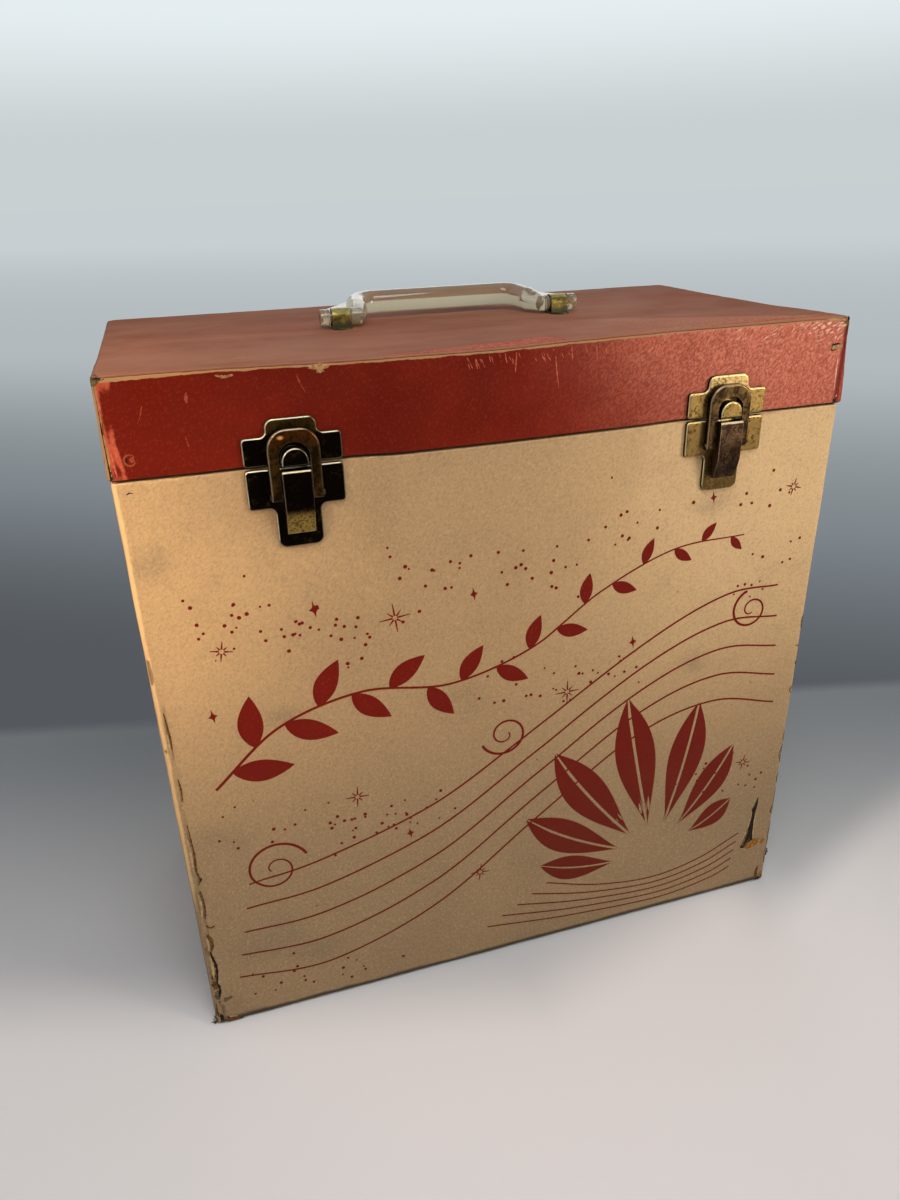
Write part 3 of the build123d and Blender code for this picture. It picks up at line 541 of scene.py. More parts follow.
def strapBrass(s):
    # olive brass with a painted highlight over the crown, dark green towards the feet
    finish = Finish("strapBrass")
    broad, fine = finish.noise(220, 4, 0.6, 0.5), finish.noise(900, 4, 0.65)
    colour = finish.blend(step(broad + (fine - 0.5) * 0.5, 0.36, 0.60), s["shade"], s["brass"])
    foot = step(finish.z + (fine - 0.5) * 0.001, *s["footEnds"])
    colour = finish.blend(foot * 0.9, colour, s["foot"])
    # painted highlight over the crown, where it faces up
    crown = finish.leaning((0, -0.5, 0.87), 0.90, 0.99) * step(fine, 0.3, 0.6, 0.5, 1.0)
    colour = finish.blend(crown * 0.6, colour, s["crown"])
    return finish.wear(colour, step(fine, 0.3, 0.7, 0.30, 0.5), finish.bump(fine, 0.00005, 0.5),
                       step(finish.z, *s["shines"]))


def plainMetal(name, colour, other, rough):
    # one colour in patches of another
    finish = Finish(name, {"Metallic": 1.0})
    patches = finish.noise(420, 4, 0.6)
    tint = finish.blend(step(patches, 0.38, 0.66), colour, other)
    return finish.wear(tint, step(patches, 0.3, 0.7, rough - 0.08, rough + 0.1),
                       finish.bump(patches, 0.00003, 0.4))


def boardFinish():
    # brown fibres lying level, with darker clouds
    finish = Finish("pressedBoard")
    fibres = finish.noise(500, 4, 0.65, source=finish.mapped((1, 1, 0.35)))
    colour = finish.blend(step(fibres, 0.35, 0.68), rgb(132, 98, 58), rgb(168, 130, 84))
    colour = finish.blend(step(finish.noise(22, 3), 0.45, 0.7, 0, 0.3), colour, rgb(104, 76, 46))
    return finish.wear(colour, step(fibres, 0.3, 0.7, 0.8, 0.95), finish.bump(fibres, 0.0001, 0.6))


def paperFinish(name, plain, spotted, spots=0.3):
    # paper in clouds of the spotted colour, with small age spots
    finish = Finish(name)
    fibres = finish.noise(700, 3, 0.6)
    clouds = finish.noise(18, 5, 0.6, 0.6)
    colour = finish.blend(step(clouds, 0.4, 0.75, 0, 0.5), plain, spotted)
    colour = finish.blend(step(finish.noise(150, 4, 0.65), 0.62, 0.74, 0, spots), colour, spotted)
    return finish.wear(colour, step(fibres, 0.3, 0.7, 0.78, 0.92), finish.bump(fibres, 0.00006, 0.5))


def clearAcrylic():
    # faintly yellowed and a little hazy
    finish = Finish("clearAcrylic", {"Base Color": rgb(224, 211, 182),
                                     "Transmission Weight": 0.84, "IOR": 1.49})
    rough = step(finish.noise(260, 4, 0.6), 0.45, 0.75, 0.03, 0.14)
    return finish.wear(roughness=rough, normal=finish.bump(finish.noise(90, 2), 0.0002, 0.25))


wornLook = {
    # torn paper and board: its colour and the colour of the fibres in it
    # near black: painted shade in holes, tears and under the lifted edge, over torn board
    "tornAndShaded": (rgb(20, 12, 6), rgb(40, 26, 13)),
    "wornOchre": (rgb(158, 108, 44), rgb(112, 72, 28)),
    "wornBrown": (rgb(112, 72, 30), rgb(78, 52, 24)),
    "wornCream": (rgb(186, 156, 114), rgb(150, 124, 88)),
    "wornGrey": (rgb(112, 94, 68), rgb(86, 70, 48)),
    "wornRed": (rgb(190, 98, 72), rgb(164, 70, 48)),
    "wornDim": (rgb(150, 66, 44), rgb(122, 42, 22)),
    "wornPale": (rgb(232, 182, 160), rgb(204, 132, 108)),
    "wornKraft": (rgb(176, 136, 92), rgb(136, 98, 60)),
    "wornThread": (rgb(88, 70, 44), rgb(54, 42, 26)),
    "wornOlive": (rgb(104, 90, 54), rgb(72, 60, 34)),
}


def wornFinish(name, plain, other):
    # matt, mottled with fine fibres
    finish = Finish(name, {"Specular IOR Level": 0.2})
    fibres = finish.noise(620, 4, 0.65, 0.6)
    colour = finish.blend(step(fibres, 0.40, 0.62), plain, other)
    return finish.wear(colour, step(fibres, 0.3, 0.7, 0.7, 0.9), finish.bump(fibres, 0.00012, 0.8))


materials = {
    "cream": creamLeatherette("creamLeatherette"),
    "red": redLeatherette("redLeatherette"),
    "ink": printInk("printInk"),
    "board": boardFinish(),
    "lining": paperFinish("liningPaper", rgb(206, 192, 162), rgb(170, 146, 108)),
    "under": paperFinish("undersidePaper", rgb(74, 60, 48), rgb(50, 40, 32), 0.5),
    "wire": plainMetal("stapleWire", rgb(150, 144, 134), rgb(96, 80, 62), 0.42),
    "pin": plainMetal("steelPin", rgb(120, 104, 78), rgb(66, 52, 36), 0.4),
    "hinge": agedBrass("hingeBrass", hingeSet),
    "backing": plainMetal("backingSteel", rgb(160, 156, 148), rgb(120, 112, 100), 0.45),
    **{key: latchMetal("latch" + key[0].upper() + key[1:], look) for key, look in latchLook.items()},
    "strap": strapBrass(strapSet),
    "acrylic": clearAcrylic(),
    **{name: wornFinish(name, *colours) for name, colours in wornLook.items()},
}

bothSides = ("left", "right")
nodeFinish = {
    "board": [f"base_{wall}_board" for wall in ("front", "back", "left", "right", "bottom")]
             + [f"lid_{wall}_board" for wall in ("top", "front", "back", "left", "right")],
    "lining": ["base_lining", "lid_lining"],
    "under": ["base_underside_sheet"],
    "wire": ["base_corner_staples", "lid_corner_staples"],
    "hinge": [f"hinge_{half}_leaf_{side}" for half in ("base", "lid") for side in bothSides]
             + ["hinge_base_rivets", "hinge_lid_rivets"],
    "pin": [f"{pin}_pin_{side}" for pin in ("hinge", "latch_lever", "latch_loop") for side in bothSides],
    "backing": [f"handle_backing_plate_{side}" for side in bothSides],
    "strap": [f"handle_{piece}_{side}" for piece in ("strap", "base_plate") for side in bothSides],
    "plateDark": ["latch_strike_plate_left", "latch_base_plate_left"],
    "loopDark": ["latch_loop_left"],
    "leverDark": ["latch_lever_left"],
    "plateWarm": ["latch_strike_plate_right", "latch_base_plate_right"],
    "loopWarm": ["latch_loop_right"],
    "leverWarm": ["latch_lever_right"],
    "acrylic": ["handle"],
}
for key, names in nodeFinish.items():
    for name in names:
        nodes[name].data.materials.clear()
        nodes[name].data.materials.append(materials[key])
print("materials made:", len(materials))


# shapes
def smooth(value, low, high):
    # 0 at low, 1 at high, with level ends: 3t2 - 2t3
    t = np.clip((value - low) / (high - low), 0, 1)
    return t * t * (3 - 2 * t)


def bell(value, middle, half):
    # squared cosine hump, nothing beyond half either side of the middle
    return np.cos(np.clip((value - middle) / half, -1, 1) * np.pi / 2) ** 2


def ripple(across, along, size, seed):
    # sum of eight plane waves near one wavelength, about -1..1
    pick = np.random.default_rng(seed)
    whole = 2 * np.pi
    angles, shares, phases = (pick.uniform(*ends, 8) for ends in ((0, whole), (0.7, 1.5), (0, whole)))
    total = 0
    for angle, share, phase in zip(angles, shares, phases):
        way = across * np.cos(angle) + along * np.sin(angle)
        total = total + np.sin(way * whole * share / size + phase)
    return total / 4


def ragged(along, size, seed, octaves=4):
    # broken line noise along -450..450 mm: knots at random heights, each octave half as long and 0.55 as high
    pick = np.random.default_rng(seed)
    along = np.asarray(along, float)
    total, height = 0, 1.0
    for octave in range(octaves):
        apart = size / 2 ** octave
        count = int(900 / apart) + 4
        total = total + np.interp(along, np.arange(count) * apart - 450, pick.uniform(-1, 1, count)) * height
        height *= 0.55
    return total / 1.6


def netFaces(rows, columns, closeRows=False, closeColumns=False):
    # quads of a grid of points numbered row by row; it may close on its first row or column
    index = np.arange(rows * columns).reshape(rows, columns)
    if closeRows:
        index = np.vstack([index, index[:1]])
    if closeColumns:
        index = np.hstack([index, index[:, :1]])
    return np.stack([index[:-1, :-1], index[:-1, 1:], index[1:, 1:], index[1:, :-1]], -1).reshape(-1, 4)


def fanFaces(ring, pole, outwards=True):
    # triangles from a closed ring of point numbers to one pole
    after = np.roll(ring, -1)
    first, second = (ring, after) if outwards else (after, ring)
    return np.stack([first, second, np.full(len(ring), pole)], -1)


def addPiece(name, points, faces, finish, body, slot, stands=(), marks=None, sharp=40):
    # points in mm; faces is a list of index arrays; marks are values at the points
    mesh = bpy.data.meshes.new(name)
    places = (np.asarray(points).reshape(-1, 3) / 1000).tolist()
    mesh.from_pydata(places, [], [face for part in faces for face in part.tolist()])
    mesh.update()
    mesh.polygons.foreach_set("use_smooth", np.ones(len(mesh.polygons), bool))
    mesh.set_sharp_from_angle(angle=math.radians(sharp))
    for key, values in (marks or {}).items():
        mark = mesh.attributes.new(key, "FLOAT", "POINT")
        mark.data.foreach_set("value", np.asarray(values, np.float32).ravel())
    mesh.materials.append(finish)
    piece = bpy.data.objects.new(name, mesh)
    bpy.context.scene.collection.objects.link(piece)
    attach(piece, body)
    if stands:
        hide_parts(*stands)
    print("made", name, len(mesh.polygons), "faces")
    return piece


def outlineColumns(front, side, back, corner):
    # columns round the case: place on the inner rectangle (-1..1) and the outward direction
    # front, side and back are rising numbers from -1 to 1
    places, facings = [], []
    quarter = np.linspace(0, 1, corner + 1)[1:-1] * np.pi / 2
    runs = [
        (np.stack([front, -np.ones_like(front)], -1), -np.pi / 2, (1, -1)),
        (np.stack([np.ones_like(side), side], -1), 0.0, (1, 1)),
        (np.stack([-back, np.ones_like(back)], -1), np.pi / 2, (-1, 1)),
        (np.stack([-np.ones_like(side), -side], -1), np.pi, (-1, -1)),
    ]
    for run, angle, end in runs:
        places += [run, np.tile(end, (len(quarter), 1))]
        angles = np.concatenate([np.full(len(run), angle), angle + quarter])
        facings.append(np.stack([np.cos(angles), np.sin(angles)], -1))
    return np.concatenate(places).astype(float), np.concatenate(facings)


def outlineAt(columns, inset, radius):
    # points (rows, columns, 2) of the rounded outline set in by each row's inset
    places, facings = columns
    inset = np.asarray(inset, float)[:, None, None]
    curve = np.maximum(radius - inset, 0.2)
    half = np.array([halfX, halfY]) - inset - curve
    return places[None] * half + facings[None] * curve


def closerToEnds(count, power=1.6):
    # numbers from -1 to 1, closer together near both ends
    t = np.linspace(-1, 1, count)
    return np.sign(t) * (1 - (1 - np.abs(t)) ** power)


# how the old case has moved
swellSet = {
    "amount": 3.8,  # the front walls belly out by this at the seam
    "middle": -22.0,
    "halfWidth": 160.0,
    "startsAt": 15.0,  # height
    "fullAt": 285.0,
    "heldNear": (1.5, 26),  # the latches hold the wall flat up to this near, and it is free this far off
    "broadWave": 0.14, "fineWave": 0.04,  # how high the waves in the front stand
    "standsOut": 0.19,  # the printed sheet stands out by this on average
}
latchPatches = [[corners(f"latch_{plate}_plate_{side}") for plate in ("strike", "base")]
                for side in bothSides]


def awayFromLatches(x, z):
    # 0 under a latch, 1 clear of it, by the distance from the box round its two plates
    clear = 1.0
    for (low, high), (foot, _) in latchPatches:
        beside = np.maximum(np.abs(x - (low[0] + high[0]) / 2) - (high[0] - low[0]) / 2, 0)
        above = np.maximum(np.maximum(z - high[2], foot[2] - z), 0)
        clear = clear * smooth(np.hypot(beside, above), *swellSet["heldNear"])
    return clear


def swell(x, z):
    # the belly: a hump across the front that grows with height
    shape = bell(x, swellSet["middle"], swellSet["halfWidth"])
    rise = smooth(z, swellSet["startsAt"], swellSet["fullAt"])
    return swellSet["amount"] * shape * rise * awayFromLatches(x, z)


creases = [
    # start and end (x, z), depth in mm and half width: shallow folds in the printed front
    ((-165, 62), (-118, 104), 0.30, 2.8),
    ((-160, 30), (-96, 52), 0.30, 3.2),
    ((-150, 118), (-40, 150), 0.26, 4.0),
    ((30, 60), (120, 84), 0.24, 4.0),
    ((-20, 215), (60, 196), 0.20, 4.0),
    ((96, 168), (118, 190), 0.20, 1.6),
]


def creaseDepth(x, z):
    # each fold is a rounded groove along its line, fading at the ends
    total = 0.0
    for (x0, z0), (x1, z1), depth, half in creases:
        length = math.hypot(x1 - x0, z1 - z0)
        ux, uz = (x1 - x0) / length, (z1 - z0) / length
        along = (x - x0) * ux + (z - z0) * uz
        off = np.abs((z - z0) * ux - (x - x0) * uz + ripple(along, along * 0, 30, 5) * 1.2)
        total = np.maximum(total, depth * np.exp(-(off / half) ** 2) * bell(along, length / 2, length * 0.62))
    return total


def bellied(x, z):
    # the front's slow shape: the belly and broad waves
    waves = ripple(x, z, 62, 11) * swellSet["broadWave"] + swellSet["standsOut"]
    return swell(x, z) + waves * awayFromLatches(x, z)


def frontOut(x, z):
    # how far the printed front stands out from the flat front face
    waves = ripple(x, z, 24, 12) * swellSet["fineWave"]
    return bellied(x, z) + waves * awayFromLatches(x, z) - creaseDepth(x, z)


def roundedBack(x, radius):
    # how far the front curves back over its upright corners
    past = np.clip(np.abs(x) - (halfX - radius), 0, radius * 0.985)
    return radius - np.sqrt(radius ** 2 - past ** 2)


# base: the covering round the boards
wrapSet = {
    "radius": 3.4,  # upright corners
    "thick": 0.4,
    "turnIn": 14.4,
    "footTurn": 12.0,
    "board": 3.0,
    "footRound": 1.0,
    "rimRound": 0.9,
    "insideRound": 0.6,
    "underPrint": 0.37,  # the wrap lies this much lower under the printed sheet
    "sideBelly": 0.9, "sideHalf": 95,  # the side and back walls belly out by this, over this half width
    "backBelly": 0.8, "backHalf": 175,
    "bellyRises": (10, 150),  # between these heights
    "waves": 0.15,  # and wave by this
    "cornerWear": 0.7,  # worn upright corners go in by up to this
    "fineFrom": 14.0, "fineTo": 288.0,  # the net is finer between these heights
    "columns": (150, 58, 84, 9),  # on the front, a side, the back and round a corner
}


def arcRows(insetCentre, zCentre, radius, start, end, count):
    # inset and height along a round edge; the angle is measured from outwards to up
    angles = np.radians(np.linspace(start, end, count))
    return insetCentre - radius * np.cos(angles), zCentre + radius * np.sin(angles)


def joined(parts):
    # insets and heights of several runs, end to end
    return [np.concatenate([np.atleast_1d(np.asarray(part[k], float)) for part in parts]) for k in (0, 1)]


def leans(facing):
    # how much a column faces the front, the back and a side, and 1 in the middle of an upright corner
    x, y = facing[..., 0], facing[..., 1]
    return np.clip(-y, 0, 1) ** 2, np.clip(y, 0, 1) ** 2, x ** 2, 2 * np.abs(x * y)


def makeBaseWrap():
    # a profile from the underside over the rim to the inside, carried round the outline; then
    # out = belly and waves of each wall, less what is worn off the upright corners
    s = wrapSet
    thick, foot, rim, inside = s["thick"], s["footRound"], s["rimRound"], s["insideRound"]
    inner, deep = s["board"] + 2 * thick, s["board"] + thick
    heights = np.concatenate([np.linspace(footZ + foot, s["fineFrom"], 8),
                              np.linspace(s["fineFrom"], s["fineTo"], 84)[1:],
                              np.linspace(s["fineTo"], rimZ - rim, 9)[1:]])
    backHeights = np.linspace(rimZ - thick, footZ + thick, 34)
    inset, z = joined([
        (np.linspace(s["footTurn"], 1.2, 4), np.full(4, footZ)),
        arcRows(foot, footZ + foot, foot, -75, -10, 5),
        (np.zeros(len(heights)), heights),
        arcRows(rim, rimZ - rim, rim, 12, 90, 6),
        ([1.9, 2.7], [rimZ, rimZ]),
        arcRows(inner - inside, rimZ - inside, inside, 90, 180, 4),
        ([inner, inner, inner], [rimZ - 4, rimZ - 9, rimZ - s["turnIn"]]),
        ([deep, deep, deep], [rimZ - s["turnIn"], rimZ - 7, rimZ - thick]),
        (np.full(len(backHeights), thick), backHeights),
        (s["footTurn"], footZ + thick),
    ])
    front, side, back, corner = s["columns"]
    columns = outlineColumns(closerToEnds(front), closerToEnds(side), closerToEnds(back), corner)
    flat = outlineAt(columns, inset, s["radius"])
    x, y = flat[..., 0], flat[..., 1]
    z = np.broadcast_to(z[:, None], x.shape)
    facing = columns[1][None]
    hold = 1 - smooth(inset, 0.5, 3.2)[:, None]  # what is turned in stays where it is
    toFront, toBack, toSide, upright = leans(facing)
    rise = smooth(z, *s["bellyRises"])
    out = toFront * (bellied(x, z) - s["underPrint"] * smooth(np.abs(x), 169.4, 166.5))
    sideOut = bell(y, 0, s["sideHalf"]) * rise * s["sideBelly"] + ripple(y, z, 55, 21) * s["waves"]
    backOut = bell(x, 0, s["backHalf"]) * rise * s["backBelly"] + ripple(x, z, 60, 22) * s["waves"]
    calmBack = smooth(np.abs(z - rimZ), 22, 50)  # flat behind the hinges
    out = out + toSide * sideOut + toBack * backOut * calmBack
    bitten = np.clip(ragged(z, 26, 31) * 0.5 + ragged(z, 7, 32) * 0.35, 0, 1)
    out = out - upright * bitten * s["cornerWear"]
    x = x + facing[..., 0] * out * hold
    y = y + facing[..., 1] * out * hold
    # dirt and painted shade towards the foot, bare board low on the corners, rubbed covering higher up and on
    # the rim
    nearFoot = smooth(z, 9, 1) + smooth(z, 30, 2) * upright
    marks = {
        "dirtAndShade": np.clip(0.3 * nearFoot + upright * 0.35 * smooth(z, 130, 30), 0, 1),
        "bare": upright * smooth(z, 60, 4) * (0.2 + 0.45 * np.clip(ragged(z, 9, 33), 0, 1)),
        "rubbed": np.maximum(upright * smooth(z, 30, 120) * 0.7, smooth(z, rimZ - 1.0, rimZ - 0.3) * 0.35),
    }
    hidden = inset[:, None] > 1.5
    addPiece("baseWrap", np.stack([x, y, z], -1), [netFaces(*x.shape, True, True)], materials["cream"],
             "base", "cream_leatherette", ["base_covering"],
             {key: np.where(hidden, 0, value) for key, value in marks.items()})


makeBaseWrap()


# base: the printed front sheet
sheetSet = {
    "left": -165.7, "right": 168.6,  # where the sheet ends near each corner
    "foot": 1.6, "top": 300.7,
    "thick": 0.4,
    "columns": 226, "rows": 196,  # of its net
    "lifts": 0.6,  # how far the left edge stands off, as a share of its ragged lift
    "liftEnds": (235, 150),  # it lifts below these heights
    "dirtEnds": (230, 140),  # and is dirty below these
}


def makePrintedSheet():
    # a grid over the front: x between two torn edges, z from foot to top, y on the bellied front
    s = sheetSet
    across = np.interp(np.linspace(0, 1, s["columns"]), [0, 0.06, 0.86, 1], [0, 0.02, 0.89, 1])
    upward = np.interp(np.linspace(0, 1, s["rows"]), [0, 0.22, 0.94, 1], [0, 0.17, 0.97, 1])
    u, v = np.meshgrid(across, upward)
    z = s["foot"] + (s["top"] - s["foot"]) * v
    # torn upright edges
    line = z[:, :1]
    left = s["left"] + ragged(line, 34, 51) * 0.4 + ragged(line, 5, 52) * 0.3
    left = left + 1.6 * np.clip(ragged(line, 22, 53, 2) - 0.25, 0, 1) * smooth(line, 200, 120)
    right = s["right"] + ragged(line, 20, 54) * 0.4
    x = left + (right - left) * u
    z = z + smooth(v, 0.02, 0) * np.clip(ragged(x, 9, 55), 0, 1) * 0.8
    # the left edge stands off a little in its lower half
    lift = smooth(x - left, 3.0, 0.0) * (0.15 + 0.5 * np.clip(ragged(z, 16, 56), 0, 1))
    lift = lift * smooth(z, *s["liftEnds"])
    y = frontY + roundedBack(x, wrapSet["radius"]) - frontOut(x, z) - lift * s["lifts"]
    leftDirt = smooth(x - left, 2.6, 0.2) * np.clip(ragged(z, 12, 59) + 0.1, 0, 1) * smooth(z, *s["dirtEnds"])
    cornerDirt = smooth(np.hypot(x + 168, z * 0.7), 46, 12) + smooth(np.hypot(x - 169, z * 0.6), 30, 8) * 0.6
    rightBare = smooth(x, 167.0, 168.6) * np.clip(ragged(z, 7, 58), 0, 1)
    # dirt, and painted shade along the foot
    marks = {
        "dirtAndShade": np.clip(0.55 * smooth(z, 6, 1.5) + 0.8 * leftDirt + 0.5 * cornerDirt, 0, 1),
        "bare": np.clip(0.45 * leftDirt + 0.3 * rightBare, 0, 1),
        "rubbed": smooth(z, s["top"] - 0.8, s["top"] - 0.2) * 0.3,
    }
    # the back of the sheet is the front moved in by its thickness, and a band joins their edges
    rows, columns = x.shape
    number = np.arange(rows * columns).reshape(rows, columns)
    ring = np.concatenate([number[0, :-1], number[:-1, -1], number[-1, :0:-1], number[:0:-1, 0]])
    points = np.stack([x, y, z], -1).reshape(-1, 3)
    start = len(points)
    behind = points + np.array([0, s["thick"], 0])
    after = np.roll(ring, -1)
    band = np.stack([ring, ring + start, after + start, after], -1)
    marks = {key: np.concatenate([value.ravel(), np.full(start, 0.5 * (key == "bare"))])
             for key, value in marks.items()}
    front = netFaces(rows, columns)
    addPiece("printedFront", np.concatenate([points, behind]), [front, band, front[:, ::-1] + start],
             materials["cream"], "base", "cream_leatherette", marks=marks, sharp=50)


makePrintedSheet()


# lid: the covering over the boards
lidSet = {
    "radius": 3.6,
    "edgeRound": 1.7,
    "thick": 0.4,
    "turnIn": 14.4,
    "board": 3.0,
    "rimRound": 0.8,
    "insideRound": 0.6,
    "rimHang": 0.55,  # the folded covering hangs this much below the rim, inside the seam
    "edgeBand": 7.2,  # the top's rows follow its outline this far in, then close on the middle
    "cornerLift": 1.3,  # the corners of the lid stand up by this
    "frontDip": 1.0,
    "rightFlare": 2.6,  # the right wall leans out at its rim
    "leftFlare": 0.8,
    "backBelly": 0.6, "backHalf": 175,
    "crack": -168.9,  # open crack at the left front corner
    "crackDepth": 0.4,
    "fineFrom": 308.0, "fineTo": 334.0,  # the net is finer between these heights
    "columns": (200, 70, 96, 10),  # on the front, a side, the back and round a corner
    # the torn line along the front: its width, more at the left, less at the right, and how ragged
    "lineWidth": 0.6, "lineLeft": 0.55, "lineRight": 0.3, "lineRagged": 0.45,
    "sheenSpan": (-38, 146),  # the painted sheen on the front grows from left to right between these places
    "sheenLessLow": 0.30,
    "sheenLessAtCorner": 0.8,
    # pale band along the left corner: x of its right end by height
    "bandHeights": [303, 309, 318.5, 328, 340],
    "bandEnds": [-163.2, -163.6, -165.2, -164.8, -162.6],
}


def lidTopRise(x, y):
    # height of the worn top over its flat face: lifted corners, a dip along the middle of the front
    lifted = (smooth(-y, 20, 86) + 0.2 * smooth(y, 20, 86)) * lidSet["cornerLift"]
    lifted = lifted * smooth(np.abs(x), -60, 60)
    dipped = lidSet["frontDip"] * bell(x, -58, 112) * smooth(y, -50, -88)
    calm = smooth(np.abs(y), 14, 40) + smooth(np.abs(np.abs(x) - 57.5), 12, 30)
    return lifted - dipped + ripple(x, y, 70, 61) * 0.12 * np.clip(calm, 0, 1)


def lidFrontOut(x, z):
    # how far the lid's front stands out from its flat face
    waves = ripple(x, z, 48, 62) * 0.14 + ripple(x, z, 17, 63) * 0.04
    return swell(x, z) + waves * awayFromLatches(x, z)


def lidRows():
    # the lid's profile as inset, height and share of the ring from the middle: from the underside of the
    # top down inside, round the rim, up the outside and over the top to its middle
    s = lidSet
    thick, rim, edge, inside = s["thick"], s["rimRound"], s["edgeRound"], s["insideRound"]
    inner, deep = s["board"] + 2 * thick, s["board"] + thick
    inward = np.array([0.06, 0.14, 0.24, 0.36, 0.48, 0.6, 0.7, 0.78, 0.84, 0.88,
                       0.91, 0.935, 0.955, 0.97, 0.982, 0.992])
    heights = np.concatenate([np.linspace(lidRimZ + rim, s["fineFrom"], 9),
                              np.linspace(s["fineFrom"], s["fineTo"], 26)[1:],
                              np.linspace(s["fineTo"], lidTopZ - edge, 13)[1:]])
    backHeights = np.linspace(lidTopZ - thick, lidRimZ + thick, 12)
    folded = lidRimZ + s["turnIn"]
    runs = [
        (thick + 0 * inward, lidTopZ - thick + 0 * inward, inward),
        (thick + 0 * backHeights, backHeights),
        ([deep, deep, deep, inner, inner, inner],
         [lidRimZ + thick, lidRimZ + 7, folded, folded, lidRimZ + 9, lidRimZ + 4]),
        arcRows(inner - inside, lidRimZ + inside, inside, -180, -90, 4),
        ([2.7, 1.9], [lidRimZ - s["rimHang"]] * 2),
        arcRows(rim, lidRimZ + rim, rim, -90, -12, 6),
        (0 * heights, heights),
        arcRows(edge, lidTopZ - edge, edge, 10, 90, 8),
        ([2.3, 3.0, 4.0, 5.4, s["edgeBand"]], [lidTopZ] * 5),
        (s["edgeBand"] + 0 * inward, lidTopZ + 0 * inward, inward[::-1]),
    ]
    inset, z = joined(runs)
    share = np.concatenate([run[2] if len(run) > 2 else np.ones(len(run[0])) for run in runs])
    return inset, z, share


def makeLidWrap():
    # the profile carried round the outline; then out = belly, waves and flare of each wall, less the
    # open crack and what is worn off the corners and the top edge
    s = lidSet
    inset, z, share = lidRows()
    front, side, back, corner = s["columns"]
    columns = outlineColumns(closerToEnds(front, 1.9), closerToEnds(side, 1.8), closerToEnds(back), corner)
    flat = outlineAt(columns, inset, s["radius"]) * share[:, None, None]
    x, y = flat[..., 0], flat[..., 1]
    facing = columns[1][None]
    turnedIn = smooth(inset, 0.5, 3.2)
    # how far a row follows its wall: fully outside, not where it is turned in, and less and less on top
    onTop = (z > lidTopZ - 1) * turnedIn * np.clip(1 - inset / 40, 0, 1)
    hold = ((1 - turnedIn + onTop) * (share == 1) + (share < 1) * np.clip(share, 0, 1) ** 3)[:, None]
    z = np.broadcast_to(z[:, None], x.shape)
    inset, outline = inset[:, None], share[:, None] == 1
    toFront, toBack, toSide, upright = leans(facing)
    perimeter = x + y * 1.7  # a different number all round the edge, for ragged lines
    down = smooth(z, lidTopZ - 3, lidRimZ)
    flare = np.where(facing[..., 0] > 0, s["rightFlare"], s["leftFlare"]) * down
    sideOut = flare + ripple(y, z, 50, 64) * 0.12
    backOut = bell(x, 0, s["backHalf"]) * s["backBelly"] * smooth(np.abs(z - lidRimZ), 22, 34)
    out = toFront * lidFrontOut(x, z) + toSide * sideOut + toBack * backOut
    # left front corner: an open crack between the torn wall covering and the front
    crackAt = s["crack"] + ragged(z, 16, 71) * 0.25
    nearFront = (facing[..., 1] < -0.05) * (z > lidRimZ + 0.5) * (z < lidTopZ - 0.4) * (inset < 1.9) * outline
    crack = smooth(np.abs(x - crackAt), 0.62, 0.24) * nearFront * (x < -160)
    topEdge = smooth(z, lidTopZ - 3.2, lidTopZ - 0.4) * smooth(inset, 3.4, 1.4) * outline
    out = out - s["crackDepth"] * crack - upright * np.clip(ragged(z + x * 0.02, 9, 72) * 0.8, 0, 1) * 0.6
    out = out - topEdge * np.clip(ragged(perimeter, 8, 73), 0, 1) * 0.35
    upper = smooth(z, lidTopZ - 20, lidTopZ - 0.5)
    worn = z + lidTopRise(x, y) * upper - topEdge * np.clip(ragged(perimeter, 6, 74), 0, 1) * 0.25
    grid = np.stack([x + facing[..., 0] * out * hold, y + facing[..., 1] * out * hold, worn], -1)
    # a pole closes the underside and the top
    middleRise = lidTopRise(np.zeros(1), np.zeros(1))[0]
    poles = np.array([[0, 0, lidTopZ - s["thick"]], [0, 0, lidTopZ + middleRise]])
    count, width = x.shape
    number = np.arange(count * width).reshape(count, width)
    faces = [netFaces(count, width, False, True), fanFaces(number[0], count * width, False),
             fanFaces(number[-1], count * width + 1)]
    marks = lidMarks(x, y, z, inset, outline, facing, perimeter, crackAt, crack, nearFront)
    addPiece("lidWrap", np.concatenate([grid.reshape(-1, 3), poles]), faces, materials["red"],
             "lid", "red_leatherette", ["lid_covering"], marks)


